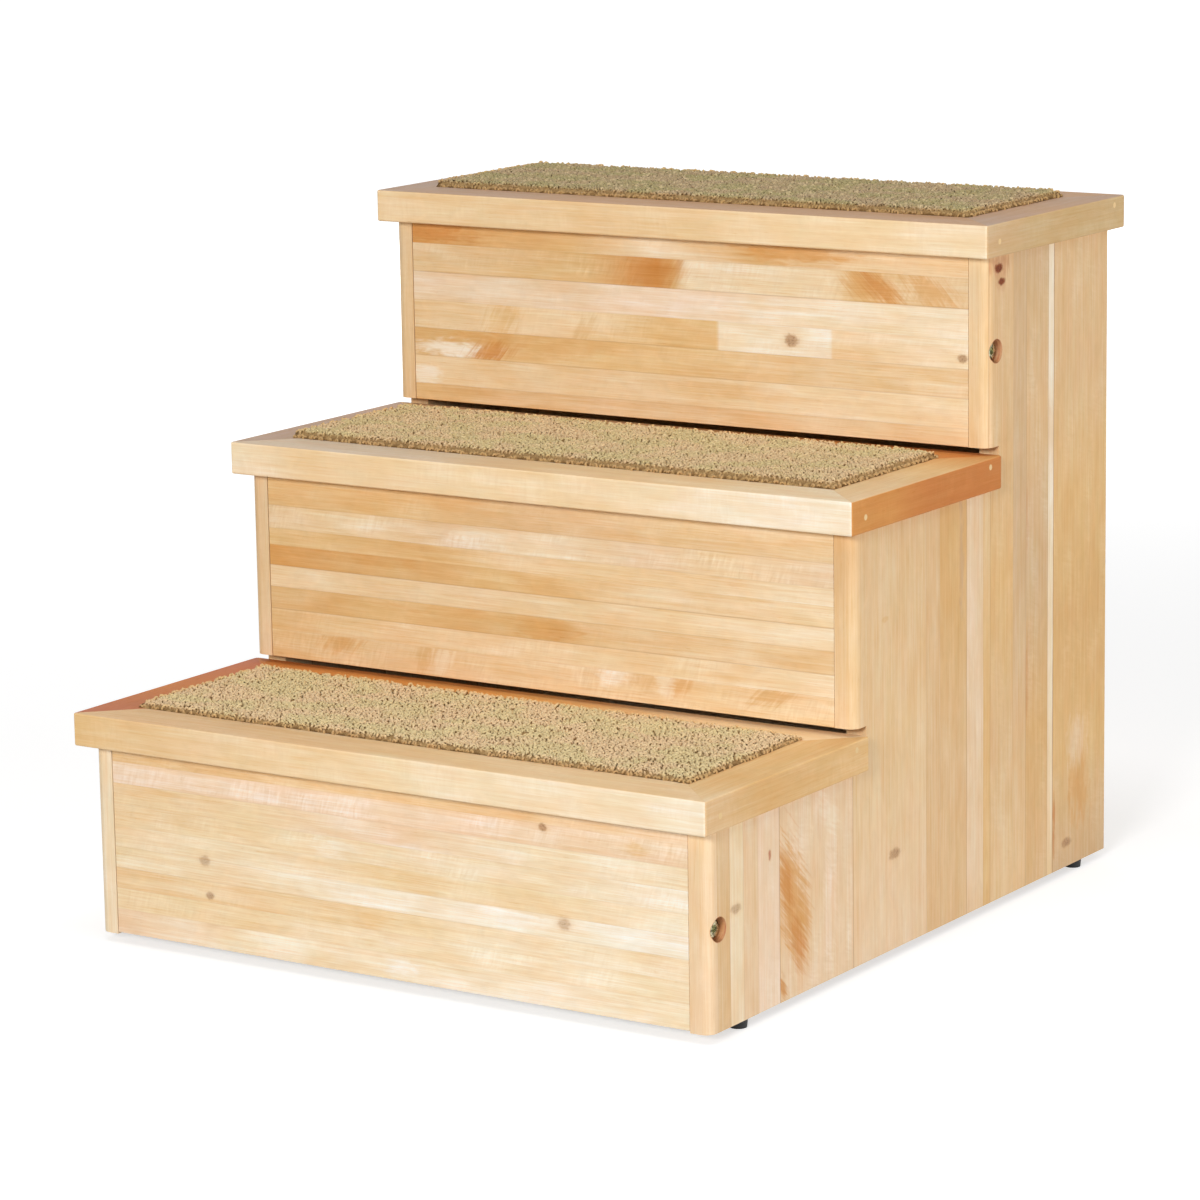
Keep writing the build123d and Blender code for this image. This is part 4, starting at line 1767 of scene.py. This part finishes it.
@dataclass
class CarpetInlay:
    """One carpet inlay: a backing laid on the tread board, and the loops that stand in it.

    Attributes:
        step: The tread's name.
        pile: How the loops are made.
        seed: Seed of everything random in it.
        proud: How far the pile stands above the rails, in metres.
        olive: Its cooler yarn.
        beige: Its warmer yarn.
        sink: How far the backing's face lies under the pile's top.
        spill: How far the edge bulges over the left, right, front and rear rails.
        lip: Height over the rails at which the backing turns out over them.
        rest: Height over the rails at which the loops stand at the open edges.
        swell: Height of the backing's gentle waves.
        waves: How tight those waves are along X, along Y and on the slant, in radians a metre.
        cell: Mesh size of the backing.
        rail_top: Height of the rails' upper faces, found when it is built.
        pieces: The backing and the loops, once they are built.
    """

    step: str
    pile: LoopPile
    seed: int
    proud: float
    olive: Rgb
    beige: Rgb
    sink: float = 2.0 * MM
    spill: tuple[float, float, float, float] = (5.5 * MM, 1.5 * MM, 0.4 * MM, 3.5 * MM)
    lip: float = 0.1 * MM
    rest: float = 0.3 * MM
    swell: float = 0.1 * MM
    waves: tuple[float, float, float] = (61, 83, 17)
    cell: float = 3.0 * MM
    rail_top: float = 0.0
    pieces: list[bpy.types.Object] = field(default_factory=list)

    def build(self, tree: bpy.types.GeometryNodeTree, backing: bpy.types.Material) -> None:
        """Make both pieces, hang them on the body, hide the CAD carpet and keep the pieces.

        Args:
            tree: The loop pile's node tree.
            backing: Finish of the backing.
        """
        low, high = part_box(f"{self.step}_carpet")
        self.rail_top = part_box(f"{self.step}_front_rail")[1].z
        base = self._backing(low, high, backing)
        loops = self._loops(low, high, tree)
        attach(base, BODY)
        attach(loops, BODY)
        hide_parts(f"{self.step}_carpet")
        start, end = self._footprint(low, high)
        self.pieces = [base, loops]
        log.info("%s carpet: %d faces of pile", self.step, len(loops.data.polygons))

    def _backing(self, low: Vector, high: Vector, finish: bpy.types.Material) -> bpy.types.Object:
        """A closed mat that fills the frame and swells a little over the rails.

        Args:
            low: Lowest corner of the CAD carpet.
            high: Its highest corner.
            finish: Its material.

        Returns:
            The mat.
        """
        columns = round((high.x - low.x) / self.cell)
        rows = round((high.y - low.y) / self.cell)
        lip = self.rail_top + self.lip
        mesh = bmesh.new()
        edge = mesh.verts.layers.float.new(LOOP_EDGE)

        def place(point: Vector, share: float) -> bmesh.types.BMVert:
            """Make a vertex that carries how near the edge it is.

            Args:
                point: Where it stands.
                share: How near the edge, from 0 to 1.

            Returns:
                The vertex.
            """
            vert = mesh.verts.new(point)
            vert[edge] = share
            return vert

        def inside(i: int, j: int, z: float) -> Vector:
            """Find a grid point within the CAD carpet's outline."""
            across, back = (high.x - low.x) * i / columns, (high.y - low.y) * j / rows
            return Vector((low.x + across, low.y + back, z))

        columns_of = range(columns + 1)
        under = [[place(inside(i, j, low.z), 1.0) for j in range(rows + 1)] for i in columns_of]
        over = [
            [place(*self._mat_point(low, high, i / columns, j / rows)) for j in range(rows + 1)]
            for i in columns_of
        ]
        for i in range(columns):
            for j in range(rows):
                mesh.faces.new(
                    (over[i][j], over[i + 1][j], over[i + 1][j + 1], over[i][j + 1])
                ).smooth = True
                mesh.faces.new(
                    (under[i][j], under[i][j + 1], under[i + 1][j + 1], under[i + 1][j])
                )
        rim = [(i, 0) for i in range(columns)] + [(columns, j) for j in range(rows)]
        rim += [(i, rows) for i in range(columns, 0, -1)] + [(0, j) for j in range(rows, 0, -1)]
        rings = [
            [under[i][j] for i, j in rim],
            [place(inside(i, j, lip), 1.0) for i, j in rim],
            [place(Vector((*over[i][j].co.xy, lip)), 1.0) for i, j in rim],
            [over[i][j] for i, j in rim],
        ]
        for lower, upper in zip(rings, rings[1:]):
            for number in range(len(rim)):
                after = (number + 1) % len(rim)
                mesh.faces.new((lower[number], lower[after], upper[after], upper[number]))
        return self._object(f"{self.step}_carpet_backing", mesh, finish)

    def _footprint(self, low: Vector, high: Vector) -> tuple[Vector, Vector]:
        """The two corners, seen from above, that the carpet's face spreads to."""
        left, right, front, rear = self.spill
        return Vector((low.x - left, low.y - front)), Vector((high.x + right, high.y + rear))

    def _foot(self) -> float:
        """Height at which the loops stand, away from the edge."""
        return self.rail_top + self.proud - self.sink

    def _drop(self) -> float:
        """How much lower the loops stand at the open edges, so that they rest on the rails."""
        return max(self.proud - self.sink - self.rest, 0.0)

    def _mat_point(self, low: Vector, high: Vector, i: float, j: float) -> tuple[Vector, float]:
        """A point of the mat's face, at shares of its width and depth.

        Args:
            low: Lowest corner of the CAD carpet.
            high: Its highest corner.
            i: Share of the width.
            j: Share of the depth.

        Returns:
            The point, gently swollen in the field and falling at the front and right edges,
            and how near any edge it is, from 0 to 1.
        """
        start, end = self._footprint(low, high)
        wide, deep = end - start
        x, y = start.x + wide * i, start.y + deep * j
        near = self._nearness(min(wide * min(i, 1 - i), deep * min(j, 1 - j)))
        fall = self._nearness(min(wide * (1 - i), deep * j)) * self._drop()
        along, back, slant = self.waves
        swell = self.swell * math.sin(x * along) * math.sin(y * back + x * slant) * (1 - near)
        return Vector((x, y, self._foot() - fall + swell)), near

    def _nearness(self, distance: float) -> float:
        """1 at the edge, falling smoothly to 0 inside the fringe."""
        rise = min(distance / self.pile.fringe, 1.0)
        return 1 - rise * rise * (3 - 2 * rise)

    @staticmethod
    def _object(name: str, mesh: bmesh.types.BMesh, finish: bpy.types.Material) -> bpy.types.Object:
        """Turn a bmesh into an object in the scene.

        Args:
            name: The object's name.
            mesh: Its mesh, which is freed.
            finish: Its material.

        Returns:
            The object.
        """
        data = bpy.data.meshes.new(name)
        mesh.to_mesh(data)
        mesh.free()
        data.materials.append(finish)
        made = bpy.data.objects.new(name, data)
        bpy.context.scene.collection.objects.link(made)
        return made

    def _loops(
        self, low: Vector, high: Vector, tree: bpy.types.GeometryNodeTree
    ) -> bpy.types.Object:
        """The loops as one plain mesh.

        Args:
            low: Lowest corner of the CAD carpet.
            high: Its highest corner.
            tree: The loop pile's node tree.

        Returns:
            The pile.
        """
        name = f"{self.step}_carpet_pile"
        foot = self._foot()
        tip = foot + self.sink
        yarn = YarnFinish(f"{name}_yarn", foot / MM, tip / MM, self.olive, self.beige).material()
        start, end = self._footprint(low, high)
        width, depth = (end - start) - Vector((2, 2)) * self.pile.span
        made = bpy.data.objects.new(name, bpy.data.meshes.new(name))
        bpy.context.scene.collection.objects.link(made)
        modifier = made.modifiers.new(name, "NODES")
        modifier.node_group = tree
        values = {
            "Width": width,
            "Depth": depth,
            "Columns": round(width / self.pile.pitch) + 1,
            "Rows": round(depth / self.pile.pitch) + 1,
            "Middle": (*((start + end) / 2), foot),
            "Stray": self.pile.stray,
            "Yarn": self.pile.yarn,
            "Span": self.pile.span,
            "Rise": self.pile.rise,
            "Lean": self.pile.lean,
            "Row Pitch": self.pile.row,
            "Fringe": self.pile.fringe,
            "Drop": self._drop(),
            "Seed": self.seed,
            "Material": yarn,
        }
        for item in tree.interface.items_tree:
            if item.in_out == "INPUT" and item.name in values:
                modifier[item.identifier] = values[item.name]
        settled = bpy.context.evaluated_depsgraph_get()
        plain_mesh = bpy.data.meshes.new_from_object(
            made.evaluated_get(settled), preserve_all_data_layers=True, depsgraph=settled
        )
        made.modifiers.clear()
        made.data = plain_mesh
        plain_mesh.name = name
        return made


# Everything else


ZINC = MetalFinish("zinc_steel", (196, 198, 196), (168, 172, 170), 0.36)
BRONZED = MetalFinish("bolt_steel", (206, 204, 170), (62, 58, 34), 0.26)
FILLER = FillerFinish("wood_filler")
BLACK_PLASTIC = PlasticFinish("foot_plastic", (16, 16, 18))


@dataclass(frozen=True)
class Fixings:
    """Cleats, tread boards, dowels, metal parts, filler and feet.

    Attributes:
        cleat_stride: How much further a cleat's figure moves for each letter of its name.
        dowel_seed: Moves the figure of the dowels.
        zinc_plated: The metal parts that don't show.
    """

    cleat_stride: float = 3.0
    dowel_seed: float = 60.0
    zinc_plated: tuple[str, ...] = (
        "cleat_screws",
        "tread_screws",
        "tread_brads",
        "foot_nails",
        "barrel_nuts",
    )

    def dress(self) -> None:
        """Finish them all."""
        for step in STEPS:
            dress(f"{step}_tread_board", PlyFinish(f"{step}_board_ply").material())
            for side in SIDES:
                node = f"{step}_{side}_cleat"
                wood = WoodFinish(
                    f"{node}_wood",
                    node,
                    Grain.SIDE_RAIL,
                    one_stave(Tone.SAND, Tone.TAN, curl=0.2),
                    seed=len(node) * self.cleat_stride,
                )
                dress(node, wood.material())
        for node in ("riser_dowels", "back_dowels"):
            wood = WoodFinish(
                f"{node}_wood", node, Grain.RISER, one_stave(Tone.SAND), seed=self.dowel_seed
            )
            dress(node, wood.material())
        zinc = ZINC.material()
        for node in self.zinc_plated:
            dress(node, zinc)
        dress("riser_bolts", BRONZED.material())
        dress("brad_fillers", FILLER.material())
        black = BLACK_PLASTIC.material()
        for end in ("front", "rear"):
            for side in SIDES:
                dress(f"{end}_{side}_foot", black)


# Studio


@dataclass(frozen=True)
class SoftBox:
    """A soft studio lamp.

    Attributes:
        name: Its name.
        place: Where it stands, in metres.
        aim: The point it faces.
        size: Its width and height, in metres.
        level: What it adds to a surface that faces it at its aim, where 1 is full white.
        glints: Whether it shows in shiny surfaces.
    """

    name: str
    place: tuple[float, float, float]
    aim: tuple[float, float, float]
    size: tuple[float, float]
    level: float
    glints: bool = True

    def build(self) -> None:
        """Put the lamp in the scene."""
        away = Vector(self.place) - Vector(self.aim)
        data = bpy.data.lights.new(self.name, "AREA")
        data.shape = "RECTANGLE"
        data.size, data.size_y = self.size
        data.energy = self.level * math.pi**2 * away.length_squared
        lamp = bpy.data.objects.new(self.name, data)
        bpy.context.scene.collection.objects.link(lamp)
        lamp.location = self.place
        lamp.visible_glossy = self.glints
        lamp.rotation_euler = away.to_track_quat("Z", "Y").to_euler()


@dataclass(frozen=True)
class PhotoCamera:
    """The camera, where the straight edges in the photograph put it.

    Attributes:
        place: Where it stands, in metres.
        azimuth: How far round to the right of the front, in degrees.
        elevation: How far it looks down.
        roll: How far it leans.
        lens: Its focal length, in millimetres.
        sensor: Width of its picture, in millimetres.
        clip: Nearest and farthest that it sees, in metres.
    """

    place: tuple[float, float, float] = (1.35165, -2.06082, 0.67030)
    azimuth: float = 33.42
    elevation: float = 11.49
    roll: float = -0.93
    lens: float = 136.77
    sensor: float = 36.0
    clip: tuple[float, float] = (0.01, 200.0)

    def build(self) -> None:
        """Make it the scene's camera."""
        turn, lift, roll = map(math.radians, (self.azimuth, self.elevation, self.roll))
        ahead = Vector(
            (-math.sin(turn) * math.cos(lift), math.cos(turn) * math.cos(lift), -math.sin(lift))
        )
        level = Vector((math.cos(turn), math.sin(turn), 0.0))
        upright = level.cross(ahead)
        right = level * math.cos(roll) + upright * math.sin(roll)
        top = upright * math.cos(roll) - level * math.sin(roll)
        data = bpy.data.cameras.new("photo_camera")
        data.lens = self.lens
        data.sensor_width = self.sensor
        data.clip_start, data.clip_end = self.clip
        camera = bpy.data.objects.new("photo_camera", data)
        turn_matrix = Matrix((right, top, -ahead)).transposed().to_4x4()
        camera.matrix_world = Matrix.Translation(self.place) @ turn_matrix
        bpy.context.scene.collection.objects.link(camera)
        bpy.context.scene.camera = camera


@dataclass(frozen=True)
class Studio:
    """Pale floor, soft lamps and a white surround.

    Attributes:
        ambient: Strength of the surround as light.
        floor_reach: Half the floor's width, in metres.
        floor_tone: The floor's own colour.
        floor_lift: What it glows by where it is seen, close to the object and far away.
        floor_fade: Distances from the object between which that changes, in metres.
        lamps: The soft lamps.
    """

    ambient: float = 0.18
    floor_reach: float = 60.0
    floor_tone: Rgb = (206, 206, 206)
    floor_lift: tuple[float, float] = (0.6, 1.0)
    floor_fade: tuple[float, float] = (0.5, 3.0)
    lamps: tuple[SoftBox, ...] = (
        SoftBox("key_lamp", (0.85, -3.2, 1.3), (0.0, 0.0, 0.2), (0.9, 0.6), 0.58),
        SoftBox("side_lamp", (2.6, 0.1, 0.6), (0.2, 0.0, 0.2), (1.8, 0.9), 0.46),
        SoftBox("top_lamp", (0.1, -0.5, 2.4), (0.0, 0.0, 0.2), (1.2, 0.8), 0.3, False),
        SoftBox("back_lamp", (-1.8, 2.4, 0.6), (0.0, 0.2, 0.2), (1.6, 0.8), 0.35, False),
    )

    def build(self) -> None:
        """Set up the world, the floor and the lamps."""
        bpy.context.scene.view_settings.view_transform = "Standard"
        self._world()
        self._floor()
        for lamp in self.lamps:
            lamp.build()

    @staticmethod
    def _seen(graph: Graph) -> Signal:
        """Tell apart the rays that show the surround itself from those that only light.

        Args:
            graph: The world's or the floor's graph.

        Returns:
            1 for camera, mirror and see-through rays, else 0.
        """
        path = graph.tree.nodes.new("ShaderNodeLightPath")
        rays = ("Is Camera Ray", "Is Glossy Ray", "Is Transmission Ray")
        camera, glossy, clear = (Signal(graph, path.outputs[ray]) for ray in rays)
        return graph.math("MAXIMUM", graph.math("MAXIMUM", camera, glossy), clear)

    def _world(self) -> None:
        """White where it is seen, and dimmer as light."""
        world = bpy.data.worlds.new("studio")
        bpy.context.scene.world = world
        world.use_nodes = True
        world.node_tree.nodes.clear()
        graph = Graph(world.node_tree)
        strength = self._seen(graph) * (1 - self.ambient) + self.ambient
        light = graph.node("ShaderNodeBackground", None, {"Color": WHITE, "Strength": strength})
        end = world.node_tree.nodes.new("ShaderNodeOutputWorld")
        world.node_tree.links.new(light.socket, end.inputs["Surface"])

    def _floor(self) -> None:
        """A wide pale floor that keeps the object's shadow."""
        reach = self.floor_reach
        mesh = bmesh.new()
        corners = ((-reach, -reach), (reach, -reach), (reach, reach), (-reach, reach))
        mesh.faces.new([mesh.verts.new((x, y, 0.0)) for x, y in corners])
        data = bpy.data.meshes.new("floor")
        mesh.to_mesh(data)
        mesh.free()
        floor = bpy.data.objects.new("floor", data)
        bpy.context.scene.collection.objects.link(floor)
        material, graph = shader("floor")
        matt = graph.node("ShaderNodeBsdfDiffuse", None, {"Color": linear(self.floor_tone)})
        axes = graph.object_axes()
        away = (power(axes["X"], 2) + power(axes["Y"], 2)) ** 0.5 * MM
        near, far = self.floor_lift
        level = near + graph.smooth(away, *self.floor_fade) * (far - near)
        glow = {"Color": WHITE, "Strength": self._seen(graph) * level}
        lift = graph.node("ShaderNodeEmission", None, glow)
        both = graph.node("ShaderNodeAddShader", None, {0: matt, 1: lift})
        end = graph.tree.nodes.new("ShaderNodeOutputMaterial")
        graph.tree.links.new(both.socket, end.inputs["Surface"])
        data.materials.append(material)


def carpets() -> list[CarpetInlay]:
    """Give the three inlays, each with its own seed, height of pile and yarn tones. The top one's
    yarn is darker as painted shade, where the light grazes the top step.

    Returns:
        The inlays, from the bottom up.
    """
    pile = LoopPile()
    return [
        CarpetInlay("bottom", pile, 11, 3.5 * MM, (224, 204, 154), (232, 202, 160)),
        CarpetInlay("middle", pile, 21, 4.7 * MM, (215, 194, 142), (225, 194, 150)),
        # Darker yarn on the top step: painted shade where the light grazes it.
        CarpetInlay("top", pile, 31, 4.7 * MM, (180, 166, 118), (189, 164, 128)),
    ]


def tread_frames() -> list[TreadFrame]:
    """Give the three tread frames, with the tones of their rails. The upward faces of the upper
    treads are greyed and darkened as painted shade.

    Returns:
        The frames, from the bottom up.
    """
    t = Tone
    bottom = TreadFrame(
        "bottom",
        Rail(
            along(t.HONEY, t.SAND, t.PEACH, t.BUTTER, t.PALE, t.PALE, t.CREAM),
            along(t.TAN, t.TAN, t.SAND, t.PEACH, t.PEACH),
        ),
        Rail(along(t.HONEY, t.TAN), along(t.CHESTNUT, t.AMBER, t.ORANGE, t.SAND, t.PEACH)),
        Rail(along(t.CHESTNUT, t.AMBER, t.CHESTNUT), along(t.RUSSET, t.CHESTNUT, t.RUSSET)),
        Rail(along(t.TAN, t.OCHRE, t.OCHRE, t.HONEY), along(t.PEACH, t.HONEY, t.HONEY, t.OCHRE)),
        40.0,
    )
    middle = TreadFrame(
        "middle",
        Rail(
            along(t.PALE, t.PEACH, t.BUTTER, t.BUTTER, t.BUTTER, t.PALE, t.CREAM, t.CREAM),
            along(t.ASH, t.ASH, t.SAND, t.PEACH, t.PALE),
        ),
        Rail(along(t.ORANGE, t.ORANGE), along(t.TAN, t.TAN, t.ORANGE, t.CHESTNUT)),
        Rail(along(t.HONEY, t.TAN), along(t.MAUVE_SHADE, t.MAUVE_SHADE)),
        Rail(
            along(t.AMBER, t.AMBER, t.CHESTNUT, t.CHESTNUT, t.CHESTNUT),
            along(t.PEACH, t.SAND, t.HONEY, t.AMBER),
        ),
        55.0,
    )
    # The top tread's upward faces take darker, greyer tones: painted shade where the light grazes
    # them.
    top = TreadFrame(
        "top",
        Rail(
            along(t.PEACH, t.SAND, t.SAND, t.SAND, t.BUTTER, t.BUTTER, t.PALE),
            along(t.MAUVE_SHADE, t.UMBER, t.UMBER, t.UMBER),
        ),
        Rail(along(t.TAN, t.SAND), along(t.MAUVE_SHADE, t.UMBER)),
        Rail(along(t.HONEY, t.TAN), along(t.MAUVE_SHADE, t.MAUVE_SHADE)),
        Rail(along(t.GREY_TAN, t.OLIVE, t.OLIVE, t.OLIVE), along(t.MAUVE_SHADE, t.UMBER, t.MAUVE_SHADE)),
        70.0,
    )
    return [bottom, middle, top]


def main() -> None:
    """Build the studio, dress every node and lay the carpets."""
    logging.basicConfig(level=logging.INFO, format="%(message)s")
    PhotoCamera().build()
    Studio().build()
    Risers().dress()
    SidePanels().dress()
    BackPanel().dress()
    for tread in tread_frames():
        tread.dress()
    Fixings().dress()
    tree = LoopPile().tree()
    backing = BackingFinish("carpet_backing").material()
    for carpet in carpets():
        carpet.build(tree, backing)


if __name__ == "__main__":
    main()
